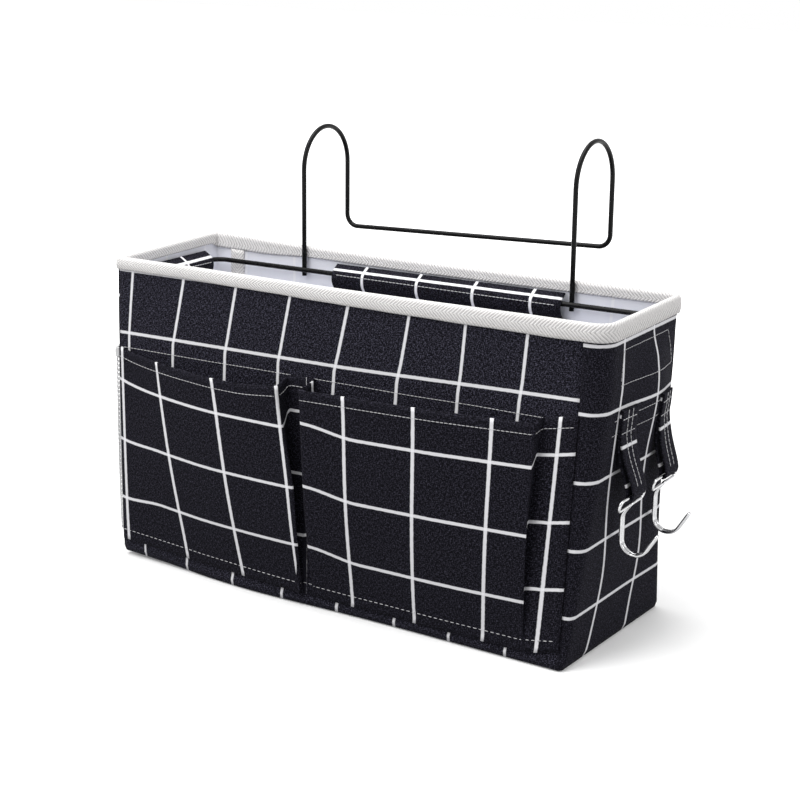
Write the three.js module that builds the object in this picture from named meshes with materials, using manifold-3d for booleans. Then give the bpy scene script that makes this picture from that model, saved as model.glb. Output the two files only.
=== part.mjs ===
// Crib organizer: a canvas box held open by a wire ring, with two wire hooks that go over a rail.
// Millimetres. +X runs along the bag to the right, +Y to the back, +Z up; the base stands on z = 0.
import * as THREE from 'three';
import { mergeVertices } from 'three/addons/utils/BufferGeometryUtils.js';
import Module from 'manifold-3d';

const BAG_LENGTH = 384;
const BAG_DEPTH = 115;
const BAG_HEIGHT = 222;
const CORNER_RADIUS = 7;
const SEAM_INSET = 17;
const SEAM_GAP = 0.3;

// how the filled bag settles below its frame
const FRONT_LEAN = 8;
const FRONT_SKEW = 0.055;
const SKEW_FROM = -66;
const SLUMP_BELOW = 178;
const SLUMP_SHIFT = 8.5;
const SLUMP_TWIST = 3.5;
const SEAM_SETTLES = 12;
const SETTLE_CUTS = { x: [-150, -110, -70, -30, 10, 50, 90, 130], y: [-28, 0, 28], z: [44, 88, 133, SLUMP_BELOW] };

// sheet thicknesses
const CANVAS = 1.5;
const LINING = 0.5;
const BOARD = 1.8;
const TAPE = 1.0;
const CLOTH = 1.2;
const NET = 0.9;
const ELASTIC = 2.0;
const GRIP_STRIP = 1.2;

// tape bound over the rim, and over the four seams inside
const RIM_TAPE_OUTSIDE = 11;
const RIM_TAPE_INSIDE = 9.5;
const SEAM_TAPE_WIDTH = 12;

// front pocket cloth
const POCKET_DROP = 64;
const POCKET_BOTTOM = 8;
const POCKET_SAG = 6;
const POCKET_OPENING = 22;
const END_TUCK_OPENING = 9;
const CENTRE_TUCK_SHIFT = -28;
const CENTRE_TUCK_WIDTH = 8;
const END_TUCK_INSET = 22;
const TUCK_LEAN = 5;
const TUCK_SLANT = 10;
const TUCK_PULL = 150;
const FOLD_RADIUS = 2;

// net pocket on the left end
const NET_DROP = 71;
const NET_BOTTOM = 18;
const NET_MOUTH = 6;
const NET_BELLY = 5;
const NET_ROWS = 10;
const NET_STRAND_SHARE = 0.2;
const ELASTIC_WIDTH = 7;

// wire ring and the hanger welded behind it
const FRAME_WIRE = 3.5;
const RING_DROP = 15.5;
const RING_CORNER = 10;
const WELD_GAP = 0.1;
const WIRE_CLEARANCE = 0.4;
const HOOK_SPACING = 219;
const HOOK_SHIFT = 5;
const HOOK_DEPTH = 59;
const HOOK_RISE = 87;
const RIGHT_HOOK_EXTRA = 5;
const REAR_BAR_RISE = 11.5;
const REAR_BAR_TILT = 2.9;
const REAR_BAR_BEND = 9;
const WELD_TAIL = 5;

// three flaps that close over the ring, each with a grip strip on it and one on the wall
const FLAP_DROP = 47;
const FLAP_START = 2.3;
const CENTRE_FLAP_WIDTH = 185;
const CENTRE_FLAP_SHIFT = 16.5;
const END_FLAP_WIDTH = 64;
const END_FLAP_SHIFT = 8;
const STRIP_HEIGHT = 18;
const STRIP_MARGIN = 3;
const WALL_STRIP_EXTRA = 4;

// loops and wire hooks on the right end
const TAB_WIDTH = 20;
const TAB_DROP = 59;
const TAB_SEWN = 19;
const TAB_LENGTH = 55;
const TAB_HANG = 9;
const FRONT_TAB_SHIFT = -26;
const REAR_TAB_SHIFT = 27;
const HOOK_WIRE = 2.2;
const HOOK_SLIDE = 4;
const EYE_WIDTH = 38;
const EYE_DROP = 7;
const EYE_LEAN = 2;
const EYE_BEND = 3.4;
const STEM_LENGTH = 33;
const STEM_INSET = 7;
const STEM_BEND = 2;
const STEM_WIRE_SPACING = 3;
const J_RADIUS = 9;
const J_WIDTH = 15;
const J_ARM = 18;
const J_ARM_ANGLE = 58;

const wasm = await Module();
wasm.setup();

const half_length = BAG_LENGTH / 2;
const half_depth = BAG_DEPTH / 2;
const seam_x = half_length - SEAM_INSET;
const corner_x = half_length - CORNER_RADIUS;
const corner_y = half_depth - CORNER_RADIUS;
const wall_stack = CANVAS + SEAM_GAP + LINING;
const inside_length = half_length - wall_stack;
const inside_depth = half_depth - wall_stack;
const wall_top = BAG_HEIGHT - TAPE - SEAM_GAP;
const inner_tape_edge = BAG_HEIGHT - RIM_TAPE_INSIDE;
const pocket_top = BAG_HEIGHT - POCKET_DROP;
const net_top = BAG_HEIGHT - NET_DROP;
const hook_apex = BAG_HEIGHT + HOOK_RISE;
const rear_bar_z = BAG_HEIGHT + REAR_BAR_RISE;
const flap_bottom = BAG_HEIGHT - FLAP_DROP;
const tab_top = BAG_HEIGHT - TAB_DROP;
const tab_sewn_to = tab_top - TAB_SEWN;
const eye_z = tab_top - TAB_LENGTH;

const materials = {
  canvas: new THREE.MeshStandardMaterial({ name: 'grid_canvas', color: 0x2e2e31, roughness: 0.95, metalness: 0 }),
  tape: new THREE.MeshStandardMaterial({ name: 'twill_tape', color: 0xe9e2d3, roughness: 0.9, metalness: 0 }),
  lining: new THREE.MeshStandardMaterial({ name: 'coated_lining', color: 0xd4d5d6, roughness: 0.4, metalness: 0.2 }),
  board: new THREE.MeshStandardMaterial({ name: 'grey_board', color: 0x8d8982, roughness: 0.9, metalness: 0 }),
  net: new THREE.MeshStandardMaterial({ name: 'white_net', color: 0xf3f3f1, roughness: 0.8, metalness: 0 }),
  grip: new THREE.MeshStandardMaterial({ name: 'grip_strip', color: 0x202023, roughness: 1, metalness: 0 }),
  wire: new THREE.MeshStandardMaterial({ name: 'painted_wire', color: 0x1a1a1c, roughness: 0.45, metalness: 0.1 }),
  chrome: new THREE.MeshStandardMaterial({ name: 'chrome_wire', color: 0xdadcde, roughness: 0.15, metalness: 1 }),
};

const organizer = new THREE.Group();
organizer.name = 'crib_organizer';

function place(name, geometry, material, parent = organizer) {
  const mesh = new THREE.Mesh(geometry, material);
  mesh.name = name;
  parent.add(mesh);
  return mesh;
}

// the filled bag's front leans out, its foot is drawn in towards the left, and what is sewn to it follows

function slump(z) {
  return Math.max(0, 1 - z / SLUMP_BELOW) ** 1.1;
}

function slump_shift(x, y, z) {
  const twist = SLUMP_TWIST * Math.max(0, x / half_length) * y / half_depth;
  return slump(z) * (SLUMP_SHIFT * (1 + x / half_length) / 2 - twist);
}

function settle(geometry) {
  const points = geometry.attributes.position;
  for (let i = 0; i < points.count; i += 1) {
    const [x, y, z] = [points.getX(i), points.getY(i), points.getZ(i)];
    const front = (half_depth - y) / BAG_DEPTH;
    const near_seam = x < seam_x ? Math.max(0, x / seam_x) : Math.max(0, (half_length - x) / SEAM_INSET);
    const seam_shift = SEAM_SETTLES * slump(z) * near_seam * Math.min(1, Math.max(0, front));
    const settled_x = x + seam_shift - slump_shift(x, y, z);
    const skew = FRONT_SKEW * (settled_x - SKEW_FROM) * slump(z);
    points.setX(i, settled_x);
    points.setY(i, y - front * (skew + FRONT_LEAN * (1 - z / BAG_HEIGHT)));
  }
  geometry.computeVertexNormals();
  return geometry;
}

// flat cloth is first cut into patches that can bend

function cut_across(geometry, axis, at) {
  const source = geometry.index ? geometry.toNonIndexed() : geometry;
  const patches = [];
  for (let i = 0; i < source.attributes.position.count; i += 3) {
    const face = [0, 1, 2].map((k) => new THREE.Vector3().fromBufferAttribute(source.attributes.position, i + k));
    for (const side of [-1, 1]) {
      const part = [];
      face.forEach((point, k) => {
        const next = face[(k + 1) % 3];
        if (side * (point[axis] - at) >= 0) part.push(point);
        if ((point[axis] - at) * (next[axis] - at) >= 0) return;
        const [low, high] = point[axis] < next[axis] ? [point, next] : [next, point];
        part.push(low.clone().lerp(high, (at - low[axis]) / (high[axis] - low[axis])));
      });
      for (let k = 1; k + 1 < part.length; k += 1) patches.push(part[0], part[k], part[k + 1]);
    }
  }
  return new THREE.BufferGeometry().setFromPoints(patches);
}

function settle_flat(geometry) {
  let cloth = geometry;
  for (const [axis, places] of Object.entries(SETTLE_CUTS)) {
    for (const at of places) cloth = cut_across(cloth, axis, at);
  }
  return settle(cloth);
}

// shapes seen from above: the bag's rounded outline, grown or shrunk

function outline(grow) {
  const shape = new THREE.Shape();
  const radius = CORNER_RADIUS + grow;
  const x = corner_x;
  const y = corner_y;
  shape.absarc(x, y, radius, 0, Math.PI / 2);
  shape.absarc(-x, y, radius, Math.PI / 2, Math.PI);
  shape.absarc(-x, -y, radius, Math.PI, 1.5 * Math.PI);
  shape.absarc(x, -y, radius, 1.5 * Math.PI, 2 * Math.PI);
  return shape;
}

function upright(shape, bottom, top) {
  const geometry = new THREE.ExtrudeGeometry(shape, { depth: top - bottom, bevelEnabled: false, curveSegments: 5 });
  return geometry.translate(0, 0, bottom);
}

function wall_band(grow_outside, grow_inside, bottom, top) {
  const shape = outline(grow_outside);
  shape.holes.push(new THREE.Path(outline(grow_inside).getPoints(5).reverse()));
  return upright(shape, bottom, top);
}

function box(x0, x1, y0, y1, z0, z1) {
  const geometry = new THREE.BoxGeometry(x1 - x0, y1 - y0, z1 - z0);
  return geometry.translate((x0 + x1) / 2, (y0 + y1) / 2, (z0 + z1) / 2);
}

function to_manifold(geometry) {
  const plain = geometry.clone();
  plain.deleteAttribute('normal');
  plain.deleteAttribute('uv');
  const welded = mergeVertices(plain, 1e-4);
  const vertProperties = new Float32Array(welded.attributes.position.array);
  const triVerts = new Uint32Array(welded.index.array);
  return new wasm.Manifold(new wasm.Mesh({ numProp: 3, vertProperties, triVerts }));
}

function joined(...geometries) {
  const solid = geometries.map(to_manifold).reduce((sum, next) => sum.add(next));
  const mesh = solid.getMesh();
  const geometry = new THREE.BufferGeometry();
  geometry.setAttribute('position', new THREE.BufferAttribute(new Float32Array(mesh.vertProperties), 3));
  geometry.setIndex(new THREE.BufferAttribute(new Uint32Array(mesh.triVerts), 1));
  const faceted = geometry.toNonIndexed();
  faceted.computeVertexNormals();
  return faceted;
}

// a strip of cloth: a centre line in two dimensions given a thickness

function sides_of(line, thickness) {
  const left = [];
  const right = [];
  line.forEach((point, i) => {
    const before = line[Math.max(i - 1, 0)];
    const after = line[Math.min(i + 1, line.length - 1)];
    const along = new THREE.Vector2().subVectors(after, before).normalize();
    const across = new THREE.Vector2(-along.y, along.x).multiplyScalar(thickness / 2);
    left.push(point.clone().add(across));
    right.push(point.clone().sub(across));
  });
  return { left, right };
}

// the strip's profile stands in the local x-z plane and its width runs along local y

function folded_strip(line, thickness, width) {
  const { left, right } = sides_of(line, thickness);
  const shape = new THREE.Shape([...left, ...right.reverse()]);
  const geometry = new THREE.ExtrudeGeometry(shape, { depth: width, bevelEnabled: false });
  geometry.rotateX(Math.PI / 2);
  return geometry.translate(0, width / 2, 0);
}

// a sheet closed from a grid of points on its outer and inner faces; a share of each cell may be left open

function sheet(columns, rows, outer, inner, strand = 0.5) {
  const corners = [];
  const quad = (a, b, c, d) => corners.push(a, b, c, a, c, d);
  const ring = [[0, 0], [1, 0], [1, 1], [0, 1]];
  for (let i = 0; i < columns; i += 1) {
    for (let j = 0; j < rows; j += 1) {
      const at = (face, u, v) => face((i + u) / columns, (j + v) / rows);
      if (strand >= 0.5) {
        quad(...ring.map(([u, v]) => at(outer, u, v)));
        quad(...ring.map(([u, v]) => at(inner, u, v)).reverse());
        continue;
      }
      const shrink = (k) => strand / 2 + k * (1 - strand);
      ring.forEach(([u, v], k) => {
        const [p, q] = ring[(k + 1) % 4];
        const rim = [u, v, p, q].map(shrink);
        quad(at(outer, u, v), at(outer, p, q), at(outer, rim[2], rim[3]), at(outer, rim[0], rim[1]));
        quad(at(inner, p, q), at(inner, u, v), at(inner, rim[0], rim[1]), at(inner, rim[2], rim[3]));
        quad(at(outer, rim[0], rim[1]), at(outer, rim[2], rim[3]), at(inner, rim[2], rim[3]), at(inner, rim[0], rim[1]));
      });
    }
  }
  for (let i = 0; i < columns; i += 1) {
    const u0 = i / columns;
    const u1 = (i + 1) / columns;
    quad(inner(u0, 0), inner(u1, 0), outer(u1, 0), outer(u0, 0));
    quad(outer(u0, 1), outer(u1, 1), inner(u1, 1), inner(u0, 1));
  }
  for (let j = 0; j < rows; j += 1) {
    const v0 = j / rows;
    const v1 = (j + 1) / rows;
    quad(outer(0, v0), outer(0, v1), inner(0, v1), inner(0, v0));
    quad(inner(1, v0), inner(1, v1), outer(1, v1), outer(1, v0));
  }
  const geometry = new THREE.BufferGeometry().setFromPoints(corners);
  geometry.computeVertexNormals();
  return geometry;
}

// bent wire: straight runs joined by round bends

class WirePath extends THREE.Curve {
  constructor(corners) {
    super();
    this.stops = [corners[0].point];
    corners.slice(1, -1).forEach((corner, k) => this.bend(corners[k].point, corner, corners[k + 2].point));
    this.stops.push(corners[corners.length - 1].point);
  }

  bend(before, corner, after) {
    const inward = new THREE.Vector3().subVectors(before, corner.point).normalize();
    const outward = new THREE.Vector3().subVectors(after, corner.point).normalize();
    const turn = Math.PI - inward.angleTo(outward);
    const reach = corner.radius * Math.tan(turn / 2);
    const middle = new THREE.Vector3().addVectors(inward, outward).normalize();
    const centre = middle.multiplyScalar(Math.hypot(reach, corner.radius)).add(corner.point);
    const start = inward.multiplyScalar(reach).add(corner.point);
    const axis = new THREE.Vector3().subVectors(start, centre);
    const end = outward.clone().multiplyScalar(reach).add(corner.point);
    const normal = new THREE.Vector3().crossVectors(axis, new THREE.Vector3().subVectors(end, centre)).normalize();
    const steps = Math.max(3, Math.round(turn / 0.27));
    for (let k = 0; k <= steps; k += 1) {
      const spoke = axis.clone().applyAxisAngle(normal, turn * k / steps);
      const stop = spoke.add(centre);
      if (stop.distanceTo(this.stops[this.stops.length - 1]) > 1e-3) this.stops.push(stop);
    }
  }

  getPoint(t) {
    const place_on = t * (this.stops.length - 1);
    const k = Math.min(Math.floor(place_on), this.stops.length - 2);
    return this.stops[k].clone().lerp(this.stops[k + 1], place_on - k);
  }

  getPointAt(u) {
    return this.getPoint(u);
  }

  getTangentAt(u) {
    const k = Math.round(u * (this.stops.length - 1));
    const before = this.stops[Math.max(k - 1, 0)];
    const after = this.stops[Math.min(k + 1, this.stops.length - 1)];
    const here = this.stops[k];
    const into = new THREE.Vector3().subVectors(here, before).normalize();
    const out = new THREE.Vector3().subVectors(after, here).normalize();
    return into.add(out).normalize();
  }
}

function corner(x, y, z, radius = 0) {
  return { point: new THREE.Vector3(x, y, z), radius };
}

function bent_wire(corners, diameter, curveSegments) {
  const path = new WirePath(corners);
  const section = new THREE.Shape();
  section.absarc(0, 0, diameter / 2, 0, 2 * Math.PI);
  return new THREE.ExtrudeGeometry(section, { steps: path.stops.length - 1, extrudePath: path, curveSegments });
}

// the box: base, front, back and two ends; each wall starts at a corner and wraps past the next to its seam

const base_panel = upright(outline(0), 0, CANVAS);
place('base_panel', settle(base_panel), materials.canvas);

const board_bottom = CANVAS + SEAM_GAP;
const board_top = board_bottom + BOARD;
place('base_board', settle(upright(outline(-CANVAS - CLOTH), board_bottom, board_top)), materials.board);

const panel_end = seam_x - SEAM_GAP;
const panel_start = SEAM_GAP - corner_x;
const long_panel = () => box(panel_start, panel_end, -half_depth, CANVAS - half_depth, CANVAS, wall_top);
place('front_panel', settle_flat(long_panel()), materials.canvas);
place('back_panel', settle_flat(long_panel().rotateZ(Math.PI)), materials.canvas);

function end_panel() {
  const shape = new THREE.Shape();
  shape.moveTo(seam_x, -half_depth);
  shape.absarc(corner_x, -corner_y, CORNER_RADIUS, 1.5 * Math.PI, 2 * Math.PI);
  shape.absarc(corner_x, corner_y, CORNER_RADIUS, 0, Math.PI / 2);
  shape.absarc(corner_x, corner_y, CORNER_RADIUS - CANVAS, Math.PI / 2, 0, true);
  shape.absarc(corner_x, -corner_y, CORNER_RADIUS - CANVAS, 2 * Math.PI, 1.5 * Math.PI, true);
  shape.lineTo(seam_x, CANVAS - half_depth);
  return upright(shape, CANVAS, wall_top);
}

place('right_end_panel', settle_flat(end_panel()), materials.canvas);
place('left_end_panel', settle_flat(end_panel().rotateZ(Math.PI)), materials.canvas);

const lining_floor = board_top + SEAM_GAP;
const lining_walls = wall_band(-CANVAS - SEAM_GAP, -wall_stack, lining_floor, wall_top);
const lining_base = upright(outline(-CANVAS - SEAM_GAP), lining_floor, lining_floor + LINING);
place('lining', settle_flat(joined(lining_walls, lining_base)), materials.lining);

// twill tape folded over the rim, and over each seam inside

const tape_outside = wall_band(SEAM_GAP + TAPE, SEAM_GAP, BAG_HEIGHT - RIM_TAPE_OUTSIDE, BAG_HEIGHT);
const tape_reach = wall_stack + SEAM_GAP;
const tape_inside = wall_band(-tape_reach, -tape_reach - TAPE, inner_tape_edge, BAG_HEIGHT);
const tape_fold = wall_band(SEAM_GAP + TAPE, -tape_reach - TAPE, BAG_HEIGHT - TAPE, BAG_HEIGHT);
place('rim_binding', settle(joined(tape_outside, tape_inside, tape_fold)), materials.tape);

const seam_tape_bottom = lining_floor + LINING + SEAM_GAP;
const seam_tape_top = inner_tape_edge - SEAM_GAP;
const seam_tape_face = inside_depth - SEAM_GAP;
const seam_tape_at = { front_right: seam_x, back_left: seam_x, front_left: corner_x, back_right: corner_x };
for (const [end, side_x] of [['left', -1], ['right', 1]]) {
  for (const [side, side_y] of [['front', -1], ['back', 1]]) {
    const strip = box(-SEAM_TAPE_WIDTH / 2, SEAM_TAPE_WIDTH / 2, -TAPE / 2, TAPE / 2, seam_tape_bottom, seam_tape_top);
    const tape_x = seam_tape_at[`${side}_${end}`] - SEAM_TAPE_WIDTH / 2;
    strip.translate(side_x * tape_x, side_y * (seam_tape_face - TAPE / 2), 0);
    place(`${side}_${end}_seam_tape`, settle_flat(strip), materials.tape);
  }
}

// front pockets: one cloth sewn into both corner seams, tucked and stitched at the middle, tucked again near the right end

const cloth_rest = SEAM_GAP + CLOTH / 2;
const tuck_left = CENTRE_TUCK_SHIFT - CENTRE_TUCK_WIDTH / 2;
const tuck_right = CENTRE_TUCK_SHIFT + CENTRE_TUCK_WIDTH / 2;
const end_tuck = panel_end - END_TUCK_INSET;
const pocket_section = new WirePath([
  corner(panel_start, 0, 0),
  corner(THREE.MathUtils.lerp(panel_start, tuck_left, 0.6), POCKET_OPENING * 0.75, 0, BAG_LENGTH / 3),
  corner(tuck_left - TUCK_LEAN, POCKET_OPENING, 0, FOLD_RADIUS * 2),
  corner(tuck_left, 0, 0, FOLD_RADIUS),
  corner(tuck_right, 0, 0, FOLD_RADIUS),
  corner(tuck_right + TUCK_LEAN, POCKET_OPENING, 0, FOLD_RADIUS * 2),
  corner(THREE.MathUtils.lerp(tuck_right, end_tuck, 0.6), POCKET_OPENING * 0.75, 0, BAG_LENGTH / 3),
  corner(end_tuck - TUCK_LEAN, END_TUCK_OPENING, 0, FOLD_RADIUS * 2),
  corner(end_tuck, 0, 0, FOLD_RADIUS),
  corner(panel_end, 0, 0),
]).stops;

function pocket_face(side) {
  const last = pocket_section.length - 1;
  return (u, v) => {
    const open = v ** 0.9;
    const pulled = (x) => x + TUCK_SLANT * (1 - v) * Math.max(0, 1 - Math.abs(x - CENTRE_TUCK_SHIFT) / TUCK_PULL);
    const line = pocket_section.map((p) => new THREE.Vector2(pulled(p.x), -half_depth - cloth_rest - open * p.y));
    const k = Math.round(u * last);
    const point = sides_of(line, CLOTH)[side][k];
    const top = pocket_top - POCKET_SAG * pocket_section[k].y / POCKET_OPENING;
    return new THREE.Vector3(point.x, point.y, THREE.MathUtils.lerp(POCKET_BOTTOM, top, v));
  };
}

const pocket_cloth = sheet(pocket_section.length - 1, 6, pocket_face('right'), pocket_face('left'));
place('front_pocket_cloth', settle(pocket_cloth), materials.canvas);

// net pocket round the left end, gathered at its mouth by an elastic binding

const corner_bend = CORNER_RADIUS * Math.PI / 2;
const corner_return = SEAM_INSET - CORNER_RADIUS;
const end_flat = BAG_DEPTH - 2 * CORNER_RADIUS;
const net_stops = [0];
for (const [run, count] of [[corner_bend, 3], [end_flat, 8], [corner_bend, 3], [corner_return, 1]]) {
  for (let k = 0; k < count; k += 1) net_stops.push(net_stops[net_stops.length - 1] + run / count);
}
const NET_COLUMNS = net_stops.length - 1;
const net_length = net_stops[NET_COLUMNS];

function round_left_end(u, grow) {
  const k = Math.min(Math.floor(u * NET_COLUMNS + 1e-9), NET_COLUMNS - 1);
  const along = THREE.MathUtils.lerp(net_stops[k], net_stops[k + 1], u * NET_COLUMNS - k);
  const from_middle = along - corner_bend - end_flat / 2;
  const side = Math.sign(from_middle);
  const past_flat = Math.abs(from_middle) - end_flat / 2;
  if (past_flat <= 0) return new THREE.Vector2(-half_length - grow, from_middle);
  if (past_flat >= corner_bend) {
    return new THREE.Vector2(-corner_x + past_flat - corner_bend, side * (half_depth + grow));
  }
  const angle = past_flat / CORNER_RADIUS;
  const reach = CORNER_RADIUS + grow;
  return new THREE.Vector2(-corner_x - reach * Math.cos(angle), side * (corner_y + reach * Math.sin(angle)));
}

function net_slack(u, v) {
  return Math.sin(Math.PI * u) ** 0.8 * (NET_MOUTH * v + NET_BELLY * Math.sin(Math.PI * v));
}

const elastic_rest = SEAM_GAP + ELASTIC / 2;

function net_face(side) {
  return (u, v) => {
    const point = round_left_end(u, elastic_rest + net_slack(u, v) + side * NET / 2);
    return new THREE.Vector3(point.x, point.y, THREE.MathUtils.lerp(NET_BOTTOM, net_top - SEAM_GAP, v));
  };
}

function elastic_face(side) {
  return (u, v) => {
    const point = round_left_end(u, elastic_rest + net_slack(u, 1) + side * ELASTIC / 2);
    return new THREE.Vector3(point.x, point.y, net_top + v * ELASTIC_WIDTH);
  };
}

const net = sheet(NET_COLUMNS, NET_ROWS, net_face(-1), net_face(1), NET_STRAND_SHARE);
place('mesh_pocket_net', settle(net), materials.net);
const elastic = sheet(2 * NET_COLUMNS, 1, elastic_face(-1), elastic_face(1));
place('mesh_pocket_elastic', settle(elastic), materials.net);

// painted wire: a ring just under the rim, and the hanger whose two uprights are welded behind the ring

const ring_inset = WIRE_CLEARANCE + SEAM_GAP + TAPE + FRAME_WIRE * 1.5 + WELD_GAP;
const ring_x = inside_length - ring_inset;
const ring_y = inside_depth - ring_inset;
const ring_z = BAG_HEIGHT - RING_DROP;
const ring_joint = SEAM_GAP / 2;
place('frame_ring', bent_wire([
  corner(ring_joint, ring_y, ring_z),
  corner(ring_x, ring_y, ring_z, RING_CORNER),
  corner(ring_x, -ring_y, ring_z, RING_CORNER),
  corner(-ring_x, -ring_y, ring_z, RING_CORNER),
  corner(-ring_x, ring_y, ring_z, RING_CORNER),
  corner(-ring_joint, ring_y, ring_z),
], FRAME_WIRE, 5), materials.wire);

const upright_y = ring_y + FRAME_WIRE + WELD_GAP;
const rear_y = upright_y + HOOK_DEPTH;
const left_x = HOOK_SHIFT - HOOK_SPACING / 2;
const right_x = HOOK_SHIFT + HOOK_SPACING / 2;
place('hanger_wire', bent_wire([
  corner(left_x, upright_y, ring_z - WELD_TAIL),
  corner(left_x, upright_y, hook_apex, HOOK_DEPTH / 2),
  corner(left_x, rear_y, hook_apex, HOOK_DEPTH / 2),
  corner(left_x, rear_y, rear_bar_z - REAR_BAR_TILT, REAR_BAR_BEND),
  corner(right_x, rear_y, rear_bar_z + REAR_BAR_TILT, REAR_BAR_BEND),
  corner(right_x, rear_y, hook_apex + RIGHT_HOOK_EXTRA, HOOK_DEPTH / 2),
  corner(right_x, upright_y, hook_apex + RIGHT_HOOK_EXTRA, HOOK_DEPTH / 2),
  corner(right_x, upright_y, ring_z - WELD_TAIL),
], FRAME_WIRE, 5), materials.wire);

// flaps: local x points from the wall into the bag, local y along the wall

const flap_rest = 3 * SEAM_GAP + 2 * GRIP_STRIP + CLOTH / 2;
const over_wire = FRAME_WIRE / 2 + WIRE_CLEARANCE + CLOTH / 2;
const flap_top = inner_tape_edge - CLOTH / 2 - SEAM_GAP / 3;
const flap_line = new THREE.SplineCurve([
  new THREE.Vector2(FLAP_START, flap_top),
  new THREE.Vector2(ring_inset - over_wire / 4, ring_z + over_wire * 1.25),
  new THREE.Vector2(ring_inset + over_wire, ring_z + over_wire / 3),
  new THREE.Vector2(ring_inset + over_wire, ring_z - over_wire / 1.5),
  new THREE.Vector2(ring_inset, ring_z - over_wire * 2.3),
]).getPoints(16);
const flap_straight = ring_z - over_wire * 3.6;
flap_line.push(new THREE.Vector2(flap_rest, flap_straight));
flap_line.push(new THREE.Vector2(flap_rest, flap_bottom));
const strip_bottom = flap_bottom + STRIP_MARGIN;

function flap_set(name, width, x, y, turn, wall_strip_shift) {
  const wall = new THREE.Group();
  wall.position.set(x, y, 0);
  wall.rotation.z = turn;
  organizer.add(wall);
  place(`${name}_flap`, folded_strip(flap_line, CLOTH, width), materials.canvas, wall);
  const half = width / 2 - STRIP_MARGIN;
  const loop_at = 2 * SEAM_GAP + GRIP_STRIP;
  const loop = box(loop_at, loop_at + GRIP_STRIP, -half, half, strip_bottom, strip_bottom + STRIP_HEIGHT);
  place(`${name}_loop_strip`, loop, materials.grip, wall);
  const grip_half = half + Math.abs(wall_strip_shift);
  const hook = box(SEAM_GAP, SEAM_GAP + GRIP_STRIP, -grip_half, grip_half, strip_bottom, strip_bottom + STRIP_HEIGHT);
  hook.translate(0, wall_strip_shift, 0);
  place(`${name}_hook_strip`, hook, materials.grip, wall);
}

flap_set('centre', CENTRE_FLAP_WIDTH, CENTRE_FLAP_SHIFT, inside_depth, -Math.PI / 2, 0);
flap_set('left', END_FLAP_WIDTH, -inside_length, END_FLAP_SHIFT, 0, WALL_STRIP_EXTRA);
flap_set('right', END_FLAP_WIDTH, inside_length, END_FLAP_SHIFT, Math.PI, -WALL_STRIP_EXTRA);

// right end: two folded loops sewn to the wall, each carrying a doubled wire hook

const loop_turn = HOOK_WIRE / 2 + WIRE_CLEARANCE + CLOTH / 2;
const back_ply = SEAM_GAP + CLOTH / 2;
const front_ply = back_ply + CLOTH + SEAM_GAP;
const tab_line = [
  new THREE.Vector2(back_ply, tab_top),
  new THREE.Vector2(back_ply, tab_sewn_to),
  new THREE.Vector2(TAB_HANG - loop_turn, eye_z + loop_turn),
];
for (let k = 0; k <= 8; k += 1) {
  const angle = Math.PI + Math.PI * k / 8;
  tab_line.push(new THREE.Vector2(TAB_HANG + loop_turn * Math.cos(angle), eye_z + loop_turn * Math.sin(angle)));
}
tab_line.push(new THREE.Vector2(TAB_HANG + loop_turn, eye_z + loop_turn));
tab_line.push(new THREE.Vector2(front_ply, tab_sewn_to));
tab_line.push(new THREE.Vector2(front_ply, tab_top));

const eye_side = EYE_WIDTH / 2;
const stem_side = STEM_WIRE_SPACING / 2;
const stem_x = -STEM_INSET;
const j_bottom = -EYE_DROP - STEM_LENGTH;
const arm_angle = THREE.MathUtils.degToRad(J_ARM_ANGLE);
const tip_x = stem_x + J_WIDTH + J_ARM * Math.cos(arm_angle);
const tip_z = j_bottom + J_ARM * Math.sin(arm_angle);
const eye_joint = SEAM_GAP / 2;
const half_hook = (side) => [
  corner(0, side * eye_joint, 0),
  corner(0, side * eye_side, 0, EYE_BEND),
  corner(-EYE_LEAN, side * eye_side, -EYE_DROP, EYE_BEND),
  corner(-EYE_LEAN, side * stem_side, -EYE_DROP, STEM_BEND),
  corner(stem_x, side * stem_side, -2 * EYE_DROP, J_RADIUS),
  corner(stem_x, side * stem_side, j_bottom, J_RADIUS),
  corner(stem_x + J_WIDTH, side * stem_side, j_bottom, J_RADIUS),
  corner(tip_x, side * stem_side, tip_z, stem_side),
];
const hook_shape = bent_wire([...half_hook(1), ...half_hook(-1).reverse()], HOOK_WIRE, 4);

// where a loop is sewn down it lies on the settled wall

function sew_down(tab) {
  const points = tab.attributes.position;
  for (let i = 0; i < points.count; i += 1) {
    const sewn = THREE.MathUtils.smoothstep(points.getZ(i), eye_z, tab_sewn_to);
    points.setX(i, points.getX(i) - sewn * slump_shift(half_length, points.getY(i), points.getZ(i)));
  }
  tab.computeVertexNormals();
  return tab;
}

for (const [name, shift] of [['front', FRONT_TAB_SHIFT], ['rear', REAR_TAB_SHIFT]]) {
  const tab = folded_strip(tab_line, CLOTH, TAB_WIDTH).translate(half_length, shift, 0);
  place(`${name}_hook_tab`, sew_down(tab), materials.canvas);
  const hook = place(`${name}_hook`, hook_shape.clone(), materials.chrome);
  hook.position.set(half_length + TAB_HANG, shift - HOOK_SLIDE, eye_z);
}

export default organizer;
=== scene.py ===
import math

import bmesh
import bpy
from mathutils import Matrix, Vector, noise


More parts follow.
